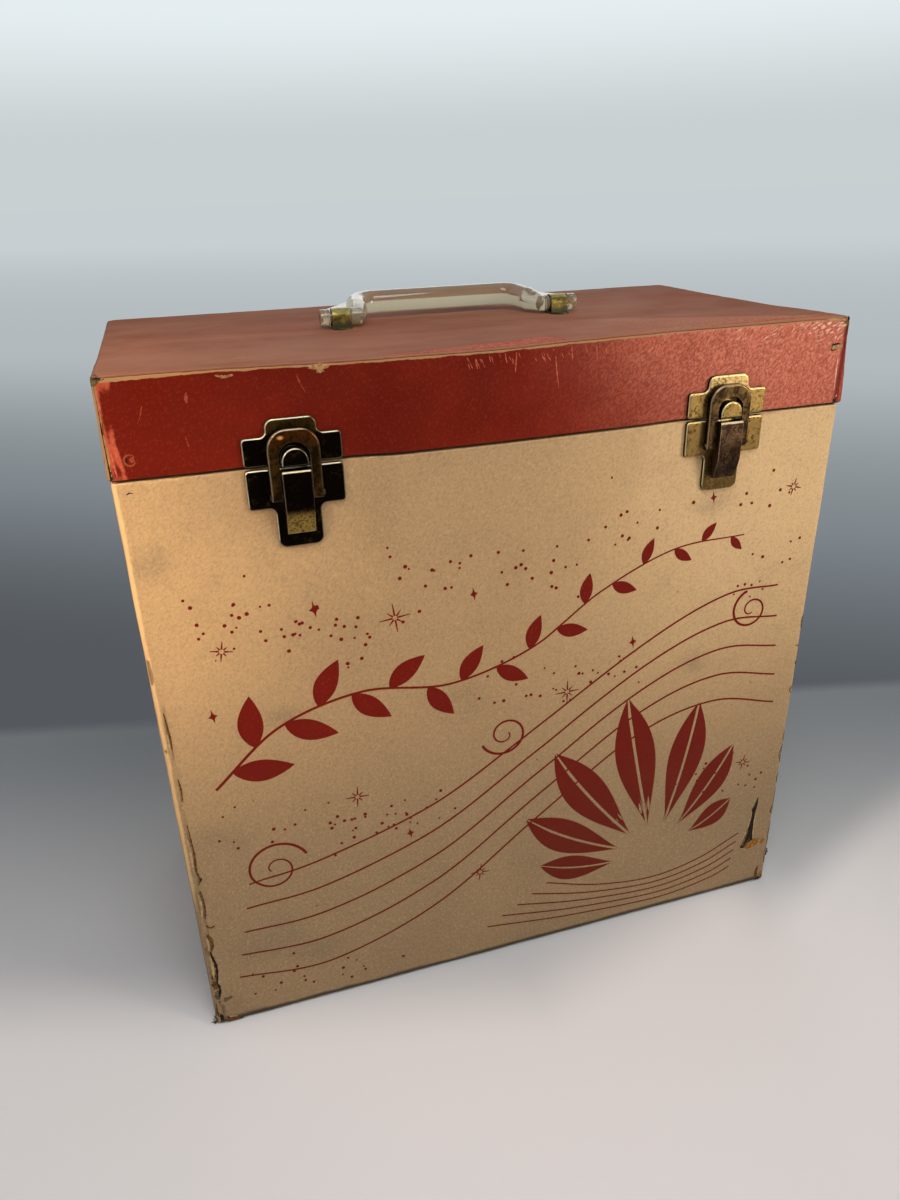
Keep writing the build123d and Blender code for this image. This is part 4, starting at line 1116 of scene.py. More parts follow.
def lidMarks(x, y, z, inset, outline, facing, perimeter, crackAt, crack, nearFront):
    # where the material shows kraft paper, pale scuffs, painted shade in gaps, board, painted sheen and the
    # dusty top with painted sheen
    s = lidSet
    toFront, _, _, upright = leans(facing)
    outerFace = (inset < 8) * (z > lidRimZ)
    edge = s["edgeRound"] * 0.45
    # kraft: a ragged line round the top edge
    profile = np.where(z < lidTopZ - 0.01, z - lidTopZ + edge, inset - edge)
    line = np.abs(profile + ragged(perimeter, 30, 75) * 0.8)
    kraft = smooth(line, 1.6, 0.5) * 0.62 * (0.7 + 0.5 * ragged(perimeter, 12, 76))
    kraft = kraft * outerFace * outline * (1 - toFront)
    # along the front the line is unbroken: wide at the left, thin at the right
    wide = s["lineWidth"] + s["lineLeft"] * smooth(x, -110, -166) - s["lineRight"] * smooth(x, 60, 110)
    wide = wide + s["lineRagged"] * np.clip(ragged(x, 7, 83), -1, 1)
    frontLine = smooth(z, lidTopZ - 1.5 - wide, lidTopZ - 0.3 - wide) * smooth(inset, 2.5, 1.4)
    kraft = np.maximum(kraft, frontLine * toFront * outerFace * outline * 0.9)
    torn = smooth(x, crackAt + 0.1, crackAt - 0.5) * np.clip(0.78 + 0.5 * ragged(z, 6, 84), 0, 1)
    kraft = np.maximum(kraft, torn * nearFront * (x < -160))
    otherCorners = np.where((x < 0) & (y < 0), 0.0, upright)
    kraft = np.maximum(kraft, otherCorners * (0.25 + 0.5 * ragged(z, 10, 77)) * outerFace)
    # scuffs: the pale band beside the crack, the right corners and the rim
    bandEnd = np.interp(z, s["bandHeights"], s["bandEnds"]) + ragged(z, 5, 78) * 0.5
    pale = 0.66 + 0.3 * bell(x, bandEnd - 1.1, 1.3) * smooth(z, 330, 316) + 0.25 * bell(x, crackAt + 0.9, 0.8)
    pale = pale + 0.12 * smooth(z, 330, 339) + 0.26 * ragged(z, 7, 87) + 0.2 * ragged(x * 6 + z, 5, 88)
    band = smooth(x, bandEnd + 1.6, bandEnd - 0.6) * smooth(x, crackAt, crackAt + 0.5) * (x < -150)
    scuff = np.maximum(band * nearFront * np.clip(pale, 0, 0.9), upright * 0.5 * outerFace * (x > 0))
    rimWear = smooth(z, lidRimZ + 1.6, lidRimZ + 0.2) * np.clip(ragged(perimeter, 14, 81), 0, 1) * outerFace
    scuff = np.maximum(scuff, rimWear * 0.7)
    # painted shade in the gaps: the crack, the seam along the front and the fold that hangs in it
    seam = smooth(z, lidRimZ + 0.75, lidRimZ + 0.35) * toFront * (inset < 2) * 0.9
    gapShade = np.maximum(np.maximum(crack, seam), (z < lidRimZ - 0.1) * 0.9)
    # painted sheen on the front towards the right, less at its foot and at the corner; on the right wall a
    # little
    sheen = toFront * smooth(x, *s["sheenSpan"]) * (1 - s["sheenLessLow"] * smooth(z, 337, 306))
    sheen = sheen * (1 - s["sheenLessAtCorner"] * smooth(x, 164.6, 167.2)) + (facing[..., 0] > 0.5) * 0.3
    chipped = np.hypot(x + 170, (lidTopZ - z) + inset) + ragged(z * 3, 5, 82)
    board = smooth(chipped, 4.2, 2.6) * 0.9 * smooth(y, frontY + 10, frontY + 4) * outerFace
    top = smooth(z, lidTopZ - 1.2, lidTopZ - 0.2) * (inset != s["thick"])
    wall = (z < lidTopZ - 0.1) & (z > lidRimZ + 1) & (inset > 0.3) & (inset < 3.41) & outline
    hidden = (inset > 8.5) | wall
    marks = {"kraft": kraft, "scuff": scuff, "gapShade": gapShade, "board": board, "sheen": sheen}
    marks = {key: np.where(hidden, 0, value) for key, value in marks.items()}
    marks["top"] = top
    # the two poles come last
    return {key: np.append(value.ravel(), [0, float(key == "top")]) for key, value in marks.items()}


makeLidWrap()


# thin shapes laid on the coverings
def onFront(x, z, lift):
    # points on the printed front, lifted from it
    return np.stack([x, frontY + roundedBack(x, wrapSet["radius"]) - frontOut(x, z) - lift, z], -1)


def onLidFront(x, z, lift):
    # points on the front of the lid, by their height before its top rose or dipped
    edge = lidSet["edgeRound"]
    back = edge - np.sqrt(edge ** 2 - np.clip(z - lidTopZ + edge, 0, edge * 0.98) ** 2)
    y = frontY + roundedBack(x, lidSet["radius"]) + back - lidFrontOut(x, z) - lift
    rise = lidTopRise(x, np.full_like(x, frontY)) * smooth(z, lidTopZ - 20, lidTopZ - 0.5)
    return np.stack([x, y, z + rise], -1)


def onLidTop(x, inset, lift):
    # points on top of the lid, by how far they lie behind its front edge
    y = frontY + inset
    band = lidSet["edgeBand"]
    share = 1 - (inset - band) / (halfY - band)
    hold = np.where(inset < band, 1 - inset / 40, np.clip(share, 0, 1) ** 3)
    out = lidFrontOut(x, np.full_like(x, lidTopZ)) * hold
    return np.stack([x, y - out, lidTopZ + lidTopRise(x, y) + lift], -1)


def curveThrough(knots, perSpan=14):
    # smooth curve through the knots (Catmull-Rom), as an array of (x, z)
    knots = np.asarray(knots, float)
    padded = np.vstack([2 * knots[0] - knots[1], knots, 2 * knots[-1] - knots[-2]])
    t = np.linspace(0, 1, perSpan, endpoint=False)[None, :, None]
    a, b, c, d = (padded[i:len(padded) - 3 + i][:, None] for i in range(4))
    bend = (2 * a - 5 * b + 4 * c - d) * t ** 2 + (3 * b - a - 3 * c + d) * t ** 3
    spans = 0.5 * (2 * b + (c - a) * t + bend)
    return np.vstack([spans.reshape(-1, 2), knots[-1:]])


def turned(points, degrees, at):
    # points turned about the origin, then moved to a place
    a = math.radians(degrees)
    spin = np.array([[math.cos(a), math.sin(a)], [-math.sin(a), math.cos(a)]])
    return np.asarray(points) @ spin + np.asarray(at)


class Print:
    # gathers many small shapes on one surface into one mesh; each stands proud of it and reaches into it
    def __init__(self, surface=onFront, proud=0.05, sink=0.12):
        self.surface, self.proud, self.sink = surface, proud, sink
        self.points, self.faces, self.total = [], [], 0

    def add(self, points, faces):
        # faces are numbered from 0 within the new points
        self.points.append(points.reshape(-1, 3))
        self.faces += [f + self.total for f in faces]
        self.total += points.reshape(-1, 3).shape[0]

    def stroke(self, path, width):
        # four-sided ribbon: left and right of the path by half the width, sunk and proud of the face
        path = np.asarray(path, float)
        width = np.broadcast_to(np.asarray(width, float), (len(path),))
        along = np.gradient(path, axis=0)
        along /= np.linalg.norm(along, axis=1)[:, None]
        left = np.stack([-along[:, 1], along[:, 0]], -1) * width[:, None] / 2
        a, b = path + left, path - left
        section = ((a, self.proud), (b, self.proud), (b, -self.sink), (a, -self.sink))
        number = np.arange(4 * len(path)).reshape(4, len(path))
        ends = [number[:, 0][None, ::-1], number[::-1, -1][None, ::-1]]
        self.add(np.stack([self.surface(*side.T, lift) for side, lift in section], 0),
                 [netFaces(4, len(path), True)[:, ::-1], *ends])

    def shape(self, outline, rings=3):
        # filled shape: rings shrunk from the outline to its middle, with a short wall below
        outline = np.asarray(outline, float)
        middle = outline.mean(0)
        rows = [middle + (outline - middle) * k for k in np.linspace(1, 0, rings + 1)[:-1]]
        points = [self.surface(*outline.T, -self.sink)] + [self.surface(*r.T, self.proud) for r in rows]
        poles = [self.surface(middle[:1], middle[1:], lift) for lift in (self.proud, -self.sink)]
        count, total = len(outline), len(points) * len(outline)
        number = np.arange(total).reshape(-1, count)
        faces = [netFaces(len(points), count, False, True), fanFaces(number[-1], total),
                 fanFaces(number[0], total + 1, False)]
        self.add(np.concatenate([*points, *poles]), faces)

    def spot(self, at, across, along, turn=0, seed=1, rough=0.25, count=18):
        # worn spot: an oval with a broken outline
        t = np.linspace(0, 2 * np.pi, count, endpoint=False)
        reach = 1 + rough * np.random.default_rng(seed).uniform(-1, 1, count)
        oval = np.stack([np.cos(t) * across / 2 * reach, np.sin(t) * along / 2 * reach], -1)
        self.shape(turned(oval, turn, at), 2)

    def fray(self, knots, width, seed=1, rough=0.4):
        # torn line: a stroke whose width breaks up and runs out at its ends
        path = curveThrough(knots, 9)
        widths = width * (1 + rough * np.random.default_rng(seed).uniform(-1, 1, len(path)))
        self.stroke(path, widths * np.sin(np.linspace(0.12, np.pi - 0.12, len(path))) ** 0.5)

    def finish(self, name, finish="ink", body="base", slot="red_leatherette"):
        # all that was gathered becomes one piece
        addPiece(name, np.concatenate(self.points), self.faces, materials[finish], body, slot, sharp=30)


# the printed design: places are (x, height) in mm
printSet = {
    "sweeps": 5,  # lines that rise from the lower left to the upper right
    "sweepWidth": (0.95, 0.15),  # least and added
    "ripples": 5, "rippleWidth": 0.85,  # lines under the spray of leaves
    "root": (88, 40),  # the spray grows from here, and its leaves start this far out
    "clear": 26,
    # angle, length, width and lean of each leaf in the spray
    "spray": ((168, 74, 17, 0.20), (148, 96, 21, 0.16), (126, 112, 23, 0.10), (102, 118, 24, 0.02),
              (79, 106, 22, -0.08), (57, 84, 19, -0.14), (33, 58, 15, -0.2)),
    "stem": [(-150, 150), (-118, 178), (-78, 190), (-34, 186), (8, 198), (44, 222), (84, 238), (124, 240)],
    "stemWidth": (1.5, 0.7),
    "stemLeaves": 17, "leafLength": (30, 20),  # first length and how much shorter the last one is
    "leafTurn": 48, "leafLean": 0.12,
    "tendrils": (((-128, 96), 17, 20), ((-6, 150), 13, 200), ((134, 196), 12, 110)),  # at, size, turn
    "bursts": (((-60, 226), 7.5), ((-138, 222), 5.0), ((28, 168), 6.5), ((-84, 130), 6.0), ((-20, 62), 5.5),
               ((142, 96), 5.0), ((150, 262), 4.5)),  # at, size
    "diamonds": (((-96, 236), 3.2), ((-22, 232), 2.6), ((64, 190), 2.8), ((-146, 190), 2.8),
                 ((104, 262), 2.4), ((-58, 100), 2.6)),
    # drifts of dots: from, to, how many
    "drifts": (((-146, 246), (-70, 214), 46), ((-60, 250), (40, 236), 34), ((40, 262), (150, 256), 22),
               ((-150, 124), (-30, 112), 44), ((-20, 178), (70, 172), 30), ((96, 108), (158, 78), 30),
               ((-150, 20), (-60, 12), 20), ((120, 212), (158, 224), 14)),
    "driftSeed": 7, "driftSpread": (4, 8), "dotRadius": (0.55, 1.0),
    "dotsWithin": (160, 6, 294),  # half width, lowest and highest place of a dot
}


def leafOutline(length, width, lean=0.15, count=26, side=None):
    # pointed leaf along +x: half width = width/2 * sin(pi t^p)^0.9, leaning to one side; side picks one half
    t = np.linspace(0, 1, count // 2 + 1)
    half = width / 2 * np.sin(np.pi * t ** (1.3 if side else 0.85)) ** 0.9
    bend = lean * length * t * (1 - t)
    vein = 0.035 * width + 0 * t
    upper = np.stack([t * length, bend + (-vein if side == "lower" else half)], -1)
    lower = np.stack([t * length, bend - (-vein if side == "upper" else half)], -1)
    return np.vstack([lower[:-1], upper[::-1][:-1]])


def addLines(lines):
    # flowing lines, ripples, curling tendrils (radius shrinks as they turn) and bursts of short rays
    s = printSet
    for i in range(s["sweeps"]):
        path = curveThrough([(-154 + 3 * i, 30 + 15 * i), (-104, 26 + 17.5 * i), (-44, 48 + 17 * i),
                             (14, 92 + 15 * i), (70, 131 + 14 * i), (116, 143 + 16 * i),
                             (157 - 2 * i, 134 + 18.5 * i)], 22)
        least, added = s["sweepWidth"]
        lines.stroke(path, least + added * np.sin(np.linspace(0, 3, len(path))))
    for i in range(s["ripples"]):
        path = curveThrough([(20 - 9 * i, 42 - 5.5 * i), (52 - 4 * i, 31 - 4.6 * i), (88 + i, 26 - 4.4 * i),
                             (119 + 2 * i, 31 - 4.6 * i), (146 - i, 43 - 6.2 * i)], 16)
        lines.stroke(path, s["rippleWidth"])
    for at, size, spin in s["tendrils"]:
        t = np.linspace(0, 1, 60)
        curl = np.stack([np.cos(t * 9.5), np.sin(t * 9.5)], -1) * (1 - t * 0.86)[:, None] * size
        lines.stroke(turned(curl, spin, at), np.linspace(*s["stemWidth"], 60))
    for at, size in s["bursts"]:
        for k in range(8):
            reach = size * (1.0 if k % 2 else 0.62)
            ray = turned([(1.1, 0), (reach * 0.5, 0), (reach, 0)], 45 * k + size * 7, at)
            lines.stroke(ray, [0.95, 0.75, 0.35])


def addLeaves(lines, fills):
    # a spray of split leaves, a stem with leaves that get smaller towards its tip, and diamonds
    s = printSet
    for angle, length, width, lean in s["spray"]:
        for half in ("upper", "lower"):
            outline = leafOutline(length - s["clear"], width, lean, 40, half) + np.array([s["clear"], 0])
            fills.shape(turned(outline, angle, s["root"]), 3)
    stem = curveThrough(s["stem"], 26)
    lines.stroke(stem, np.linspace(*s["stemWidth"], len(stem)))
    longest, less = s["leafLength"]
    for k, t in enumerate(np.linspace(0.04, 0.97, s["stemLeaves"])):
        i = min(int(t * len(stem)), len(stem) - 2)
        direction = math.degrees(math.atan2(*(stem[i + 1] - stem[i])[::-1]))
        size, side = longest - less * t, 1 if k % 2 else -1
        leaf = leafOutline(size, size * 0.42, side * s["leafLean"])
        fills.shape(turned(leaf, direction + side * s["leafTurn"], stem[i]), 3)
    for at, size in s["diamonds"]:
        t = np.linspace(0, 2 * np.pi, 16, endpoint=False)
        reach = (np.abs(np.cos(t)) ** 0.5 + np.abs(np.sin(t)) ** 0.5) ** -1.6 * size
        fills.shape(turned(np.stack([np.cos(t) * reach * 0.8, np.sin(t) * reach * 1.4], -1), 8, at), 2)


def addDots(dots):
    # each drift is scattered about its line; dots keep clear of the latches and the edges
    s = printSet
    pick = np.random.default_rng(s["driftSeed"])
    halfWide, lowest, highest = s["dotsWithin"]
    for (x0, z0), (x1, z1), many in s["drifts"]:
        t = pick.uniform(0, 1, many)
        xs = x0 + (x1 - x0) * t + pick.normal(0, s["driftSpread"][0], many)
        zs = z0 + (z1 - z0) * t + pick.normal(0, s["driftSpread"][1], many)
        for cx, cz, radius in zip(xs, zs, pick.uniform(*s["dotRadius"], many)):
            underLatch = awayFromLatches(np.array(cx), np.array(cz)) < 0.05
            if underLatch or abs(cx) > halfWide or not lowest < cz < highest:
                continue
            t = np.linspace(0, 2 * np.pi, 9, endpoint=False)
            dots.shape(np.stack([cx + radius * np.cos(t), cz + radius * np.sin(t)], -1), 1)


def makePrint():
    # one piece each for the lines, the leaves and the dots
    lines, fills, dots = Print(), Print(), Print()
    addLines(lines)
    addLeaves(lines, fills)
    addDots(dots)
    lines.finish("printLines")
    fills.finish("printLeaves")
    dots.finish("printDots")


makePrint()


# the worn places: tears, frayed edges, chips and rubbed spots, by place (x, height) in mm
baseBoard, lidBoard = ("base", "pressed_board"), ("lid", "pressed_board")
baseCream, lidRed = ("base", "cream_leatherette"), ("lid", "red_leatherette")
slotCorners = np.array([(-3.9, -2.0), (3.6, -1.2), (3.6, 1.9), (-3.6, 1.1)])  # where a staple was pulled out
aroundStain = np.linspace(0.5, 5.9, 16)
roundStain = np.stack([-161.1 + 2.1 * np.cos(aroundStain), 310.5 + 2.2 * np.sin(aroundStain)], -1)
wornSet = {
    # piece: surface, how far it stands proud and reaches in (mm), finish, body and slot, then
    # shapes: outline and rings; spots: place, across, along, turn, seed, raggedness and corners;
    # frays: knots, width, seed and raggedness; nicks: place, length, turn and seed;
    # cracks: x, top, bottom, lean and seed
    "wornBaseHoles": {
        # near black: painted shade in the tear and the chipped corners, and dark frays along the right edge
        "on": (onFront, 0.07, 0.42), "finish": "tornAndShaded", "rides": baseBoard,
        "shapes": [
            # the tear at the lower right, then the chipped lower left corner
            ([(148.6, 30.4), (149.4, 35), (150.8, 40), (152.0, 45), (153.0, 50), (153.9, 55.4), (153.2, 58.6),
              (154.6, 61), (156.6, 67.8), (157.0, 62.6), (156.5, 58), (155.9, 55.2), (156.0, 50), (156.0, 44),
              (156.3, 39), (157.0, 35.4), (156.6, 32.4), (152.5, 29.8)], 3),
            ([(-170.0, 0.9), (-170.0, 6.0), (-168.8, 9.4), (-167.0, 7.4), (-165.4, 5.4), (-162.8, 4.6),
              (-159.6, 3.4), (-155.8, 0.9)], 2),
        ],
        "spots": [((165.6, 2.0), 5.6, 1.8, 6, 25)],
        "frays": [
            ([(168.9, 187), (168.2, 183), (168.8, 178)], 1.2, 30),
            ([(168.8, 158.4), (168.3, 157), (168.8, 155.6)], 1.0, 32),
            ([(168.9, 111), (168.4, 107), (168.9, 104)], 1.1, 34),
            ([(168.8, 102), (167.5, 96), (168.7, 89)], 1.6, 35),
            ([(168.9, 82), (168.4, 78), (168.9, 74)], 1.3, 36),
            ([(168.9, 71), (168.7, 60), (168.9, 50)], 0.9, 37),
            ([(168.9, 46), (168.5, 36), (168.8, 27)], 1.4, 39),
            ([(168.7, 26), (168.0, 21), (168.5, 13)], 2.2, 40),
            ([(-164.6, 297.0), (-163.4, 297.6), (-162.0, 297.2)], 0.6, 40),
        ],
    },
    "wornBaseBoard": {
        "on": (onFront, 0.14, 0.3), "finish": "wornBrown", "rides": baseBoard,
        "shapes": [([(-164.0, 0.9), (-164.4, 2.6), (-163.2, 3.0), (-162.2, 4.4), (-160.6, 3.0), (-158.8, 3.4),
                     (-156.0, 0.9)], 2)],
        "spots": [((-167.0, 28.6), 3.0, 5.0, 10, 21)],
        "frays": [
            ([(166.0, 168.6), (167.6, 168.1), (168.9, 168.4)], 0.6, 31),
            ([(168.4, 142), (167.0, 139.5), (168.6, 137)], 0.9, 33),
            ([(168.4, 58), (166.9, 54.6), (168.0, 52)], 0.9, 38),
            ([(163.6, 12), (163.0, 6.4), (164.0, 1.4)], 1.9, 41),
        ],
        "nicks": [(104, 266.5, 3.6, 8, 50), (-141, 218, 1.1, 60, 51), (-52, 96, 1.0, 20, 52),
                  (12, 130, 0.9, 70, 53), (-110, 66, 1.2, 30, 54), (60, 88, 1.0, 10, 55),
                  (-134, 140, 0.8, 80, 56), (140, 150, 1.0, 40, 57), (88, 214, 0.8, 15, 58)],
    },
    "wornBaseOchre": {
        # a flap of board that has curled out of the tear
        "on": (onFront, 0.13, 0.3), "finish": "wornOchre", "rides": baseBoard,
        "shapes": [
            ([(151.4, 30.4), (153.2, 32.9), (156.6, 34.9), (159.6, 35.2), (161.7, 34.4), (162.0, 32.4),
              (160.2, 30.2), (156.6, 28.7), (153.2, 28.6)], 3),
            ([(162.4, 31.4), (163.7, 33.8), (165.8, 33.0), (165.2, 30.6), (163.4, 29.9)], 2),
        ],
        "spots": [((166.4, 4.6), 2.2, 4.6, -14, 24)],
    },
    # the sheet's left edge stands off the case, so what lies along it stands higher
    "wornEdgeShadows": {
        # dark frays along the lifted left edge: painted shadow under it
        "on": (onFront, 0.44, 0.3), "finish": "tornAndShaded", "rides": baseBoard,
        "frays": [
            ([(-166.3, 52), (-165.2, 46), (-164.6, 40), (-165.2, 34), (-165.8, 30)], 1.1, 16),
            ([(-165.6, 30), (-164.9, 26), (-165.8, 20)], 1.2, 18),
            ([(-164.9, 101.4), (-164.2, 100), (-165.0, 98.6)], 1.2, 20),
        ],
    },
    "wornEdgeBoard": {
        "on": (onFront, 0.46, 0.3), "finish": "wornBrown", "rides": baseBoard,
        "frays": [
            ([(-166.6, 196), (-166.0, 188), (-165.6, 181), (-165.9, 176)], 0.6, 10),
            ([(-165.8, 160), (-165.3, 154), (-165.6, 147)], 0.7, 11),
            ([(-165.6, 134), (-165.2, 124), (-164.9, 115), (-165.4, 106), (-164.6, 101), (-165.5, 97)],
             0.8, 12),
            ([(-165.5, 93), (-164.9, 87), (-164.8, 80), (-165.5, 75)], 0.9, 13),
            ([(-165.6, 70), (-163.8, 68.4), (-161.8, 69.0)], 0.6, 14),
            ([(-166.2, 64), (-164.9, 61.5), (-164.4, 57), (-165.4, 53)], 1.2, 15),
            ([(-165.9, 42), (-165.8, 37), (-167.2, 33.5), (-168.0, 35)], 0.9, 17),
            ([(-168.2, 15), (-168.6, 9), (-168.0, 6)], 0.8, 19),
        ],
    },
    "wornEdgeFlakes": {
        # pale flakes of covering that hang over the left corner
        "on": (onFront, 0.50, 0.3), "finish": "wornCream", "rides": baseCream,
        "frays": [
            ([(-167.2, 190), (-166.7, 180), (-167.0, 172)], 0.9, 44),
            ([(-166.6, 148), (-165.6, 146), (-166.4, 144)], 1.3, 45),
            ([(-167.0, 128), (-166.5, 116), (-166.7, 104)], 1.2, 46),
            ([(-166.8, 92), (-166.2, 84), (-166.8, 77)], 1.1, 47),
            ([(-167.0, 63), (-166.2, 58), (-166.8, 54)], 1.2, 48),
            ([(-167.0, 50), (-166.4, 42), (-166.9, 34)], 1.4, 49),
        ],
    },
    "wornBaseFibres": {
        # paper fibres left along the torn sides, and grey stains
        "on": (onFront, 0.11, 0.3), "finish": "wornGrey", "rides": baseBoard,
        "spots": [((-166.6, 21.0), 3.4, 5.6, -8, 22), ((-163.2, 17.0), 7.0, 3.0, 20, 23, 0.35)],
        "frays": [([(149.9, 31.4), (151.0, 37.0), (152.6, 43.6)], 1.1, 3),
                  ([(150.8, 31.6), (153.4, 34.0), (154.8, 36.4)], 0.5, 4)],
    },
    "wornBaseEdges": {
        "on": (onFront, 0.20, 0.3), "finish": "wornCream", "rides": baseCream,
        "shapes": [([(-168.9, 1.2), (-169.4, 5.4), (-168.6, 8.4), (-167.5, 5.2), (-167.7, 1.8)], 2)],
        "frays": [
            ([(148.9, 33), (150.9, 41), (153.2, 52), (153.4, 57.6)], 0.7, 5),
            ([(156.7, 36), (156.3, 44), (156.5, 53), (158.6, 56.6)], 0.7, 6),
            ([(161.5, 33.6), (161.9, 31.8), (161.6, 30.4)], 0.6, 7),
            ([(-163.0, 4.4), (-160.8, 4.0), (-158.6, 3.2)], 0.8, 8),
            ([(-164.8, 296.0), (-161.0, 295.4), (-157.0, 294.0)], 0.5, 41),
        ],
    },
    "wornLidPale": {
        # pale flakes by the right corner of the lid
        "on": (onLidFront, 0.14, 0.3), "finish": "wornPale", "rides": lidRed,
        "spots": [((x, z), size, high, 14, 140 + k, 0.45, 14) for k, (x, z, size, high) in enumerate([
            (149.0, 338.0, 2.6, 1.1), (151.4, 339.4, 2.0, 1.0), (153.6, 338.2, 3.4, 1.5),
            (156.6, 339.6, 2.6, 1.2), (157.2, 337.0, 3.0, 1.0), (159.8, 338.5, 2.2, 1.0),
            (161.4, 333.4, 1.6, 1.3), (162.6, 336.8, 2.6, 0.9), (165.0, 338.2, 3.2, 1.0),
            (146.6, 336.0, 1.8, 0.9), (158.8, 335.6, 2.2, 0.7), (153.2, 336.2, 1.4, 0.7),
            (163.6, 339.6, 2.4, 0.8), (149.8, 340.2, 2.8, 0.9)])] + [((168.4, 309.8), 1.8, 3.6, 10, 241)],
        "frays": [([(164.4, 326), (164.9, 318), (165.2, 309)], 0.55, 240),
                  ([(167.0, 305.6), (168.4, 307.0), (169.2, 309.0)], 0.7, 242)],
    },
    "wornLidRed": {
        "on": (onLidFront, 0.06, 0.3), "finish": "wornRed", "rides": lidRed,
        "spots": [((169.6, 308.6), 2.0, 4.6, 8, 172)],
        "frays": [([(-165.9, 319.4), (-165.6, 314), (-164.6, 307.6)], 0.7, 164),
                  ([(-167.6, 316.6), (-167.4, 311), (-166.8, 304.4)], 0.7, 165),
                  ([(-168.2, 340.0), (-168.3, 333), (-168.4, 326)], 0.6, 166)],
        "cracks": [
            (-19.6, 338.8, 334.5, 0.8, 61), (-13.5, 339.6, 337.0, 0.5, 62), (-6.5, 339.8, 335.9, 0.8, 63),
            (-1.4, 339.9, 331.9, -0.5, 64), (12.5, 338.0, 334.8, 2.0, 65), (16.6, 336.4, 323.6, 1.8, 66),
            (24.0, 339.5, 334.0, 0.8, 67), (30.5, 340.0, 336.0, 1.4, 68), (36.0, 338.6, 333.0, 0.6, 69),
            (43.0, 340.2, 335.2, 1.8, 70), (48.5, 339.0, 334.4, 2.2, 71), (54.0, 340.0, 336.2, 1.2, 72),
            (60.5, 339.6, 335.0, 2.0, 73), (66.0, 338.8, 333.4, 1.2, 74), (72.5, 339.4, 336.6, 1.6, 75),
        ],
    },
    "wornLidDim": {
        "on": (onLidFront, 0.06, 0.3), "finish": "wornDim", "rides": lidRed,
        "spots": [((-136.6, 332.1), 1.5, 4.0, -8, 160), ((-160.2, 310.7), 2.0, 2.4, 0, 162)],
        "frays": [(roundStain, 0.8, 161)],
        "cracks": [(-93.6, 338.0, 330.5, 3.2, 60), (-153.2, 330.6, 324.4, -2.6, 76),
                   (-139.0, 318.0, 313.6, 0.8, 77)],
    },
    "wornLidKraft": {
        "on": (onLidFront, 0.10, 0.3), "finish": "wornKraft", "rides": lidBoard,
        "shapes": [(np.array([163.4, 329.3]) + slotCorners * (0.78, 0.60), 1),
                   ([(169.6, 341.7), (169.4, 338.6), (166.8, 339.5), (162.4, 340.3), (157.6, 340.6),
                     (152.0, 341.0), (156.0, 341.6), (163.0, 341.8)], 2)],
        "spots": [((-84.2, 340.3), 9.0, 2.4, 0, 167), ((-84.0, 338.8), 3.0, 2.6, 0, 168)],
        "frays": [([(-124.6, 339.4), (-121.4, 338.6), (-117.8, 339.2)], 1.0, 169)],
    },
    "wornLidHoles": {
        # near black: painted shade in the staple slot, small holes and chips
        "on": (onLidFront, 0.08, 0.3), "finish": "tornAndShaded", "rides": lidBoard,
        "shapes": [(np.array([163.9, 329.6]) + slotCorners, 1)],
        "spots": [((-162.2, 310.8), 0.8, 2.2, 8, 163), ((168.6, 304.6), 3.6, 3.2, 20, 170),
                  ((166.6, 303.9), 2.2, 1.6, 0, 171), ((-167.0, 341.2), 2.6, 1.0, -8, 173),
                  ((168.2, 341.0), 2.2, 1.2, 30, 176)],
        "frays": [([(-169.3, 306.6), (-168.9, 304.6), (-168.0, 303.4)], 1.5, 174)],
    },
    "wornLidOlive": {
        # bare board at the lid's upper corners
        "on": (onLidFront, 0.12, 0.4), "finish": "wornOlive", "rides": lidBoard,
        "shapes": [([(-169.9, 338.6), (-169.8, 341.6), (-166.0, 341.9), (-164.6, 341.0), (-167.4, 339.8),
                     (-168.4, 338.4)], 2),
                   ([(169.9, 341.4), (169.9, 330.6), (169.3, 331.8), (168.9, 337.4), (166.2, 339.9),
                     (163.2, 340.9), (166.4, 341.6)], 2)],
        "frays": [([(169.7, 332), (169.6, 323), (169.8, 315)], 1.1, 175)],
    },
    # on top a place is (x, distance behind the front edge)
    "wornTopRed": {
        "on": (onLidTop, 0.10, 0.3), "finish": "wornRed", "rides": lidRed,
        "frays": [([(96, 5.2), (124, 6.0), (150, 7.0), (165, 8.0)], 2.2, 181, 0.4)],
    },
    "wornTopKraft": {
        "on": (onLidTop, 0.14, 0.3), "finish": "wornKraft", "rides": lidBoard,
        "spots": [((-113, 20), 5.0, 1.6, 20, 182)],
        "frays": [([(58, 5.0), (86, 7.6), (120, 12.0), (148, 13.4), (165, 13.0)], 0.9, 180, 0.5)],
    },
}
crackleSet = {
    "seed": 11,
    "fineCracks": 46, "fineWidth": 0.28,  # between the larger cracks on the front edge of the lid
    "fineFrom": (-26, 336.5), "fineTo": (78, 340.2),
    "strokes": 34, "strokeWidth": 0.34,  # thick near the right corner and fewer away from it
    "strokesFrom": (166, 340.4), "strokesReach": (60, 9),
}
wedgeSet = {
    "from": -60, "to": 26, "steps": 40,  # rubbed wedge behind the front edge of the lid's top
    "near": 3.6, "least": 1.2, "added": 9.0,  # its near side, then its depth from left to right
}
threadSet = [
    # frayed threads at the lower corners: where they grow from, and reach and width of each
    ((-169.2, frontY + 1.2, 2.6),
     [((-3.8, 0.3, -1.3), 1.5), ((-2.2, -0.4, -2.0), 1.6), ((-1.6, 0.2, 4.4), 1.0), ((-2.9, 0.6, 1.0), 0.9)]),
    ((169.2, frontY + 2.0, 21.0),
     [((1.9, -0.6, -1.4), 2.6), ((1.5, -0.4, 2.0), 2.2), ((1.1, -0.6, -4.0), 1.4)]),
]


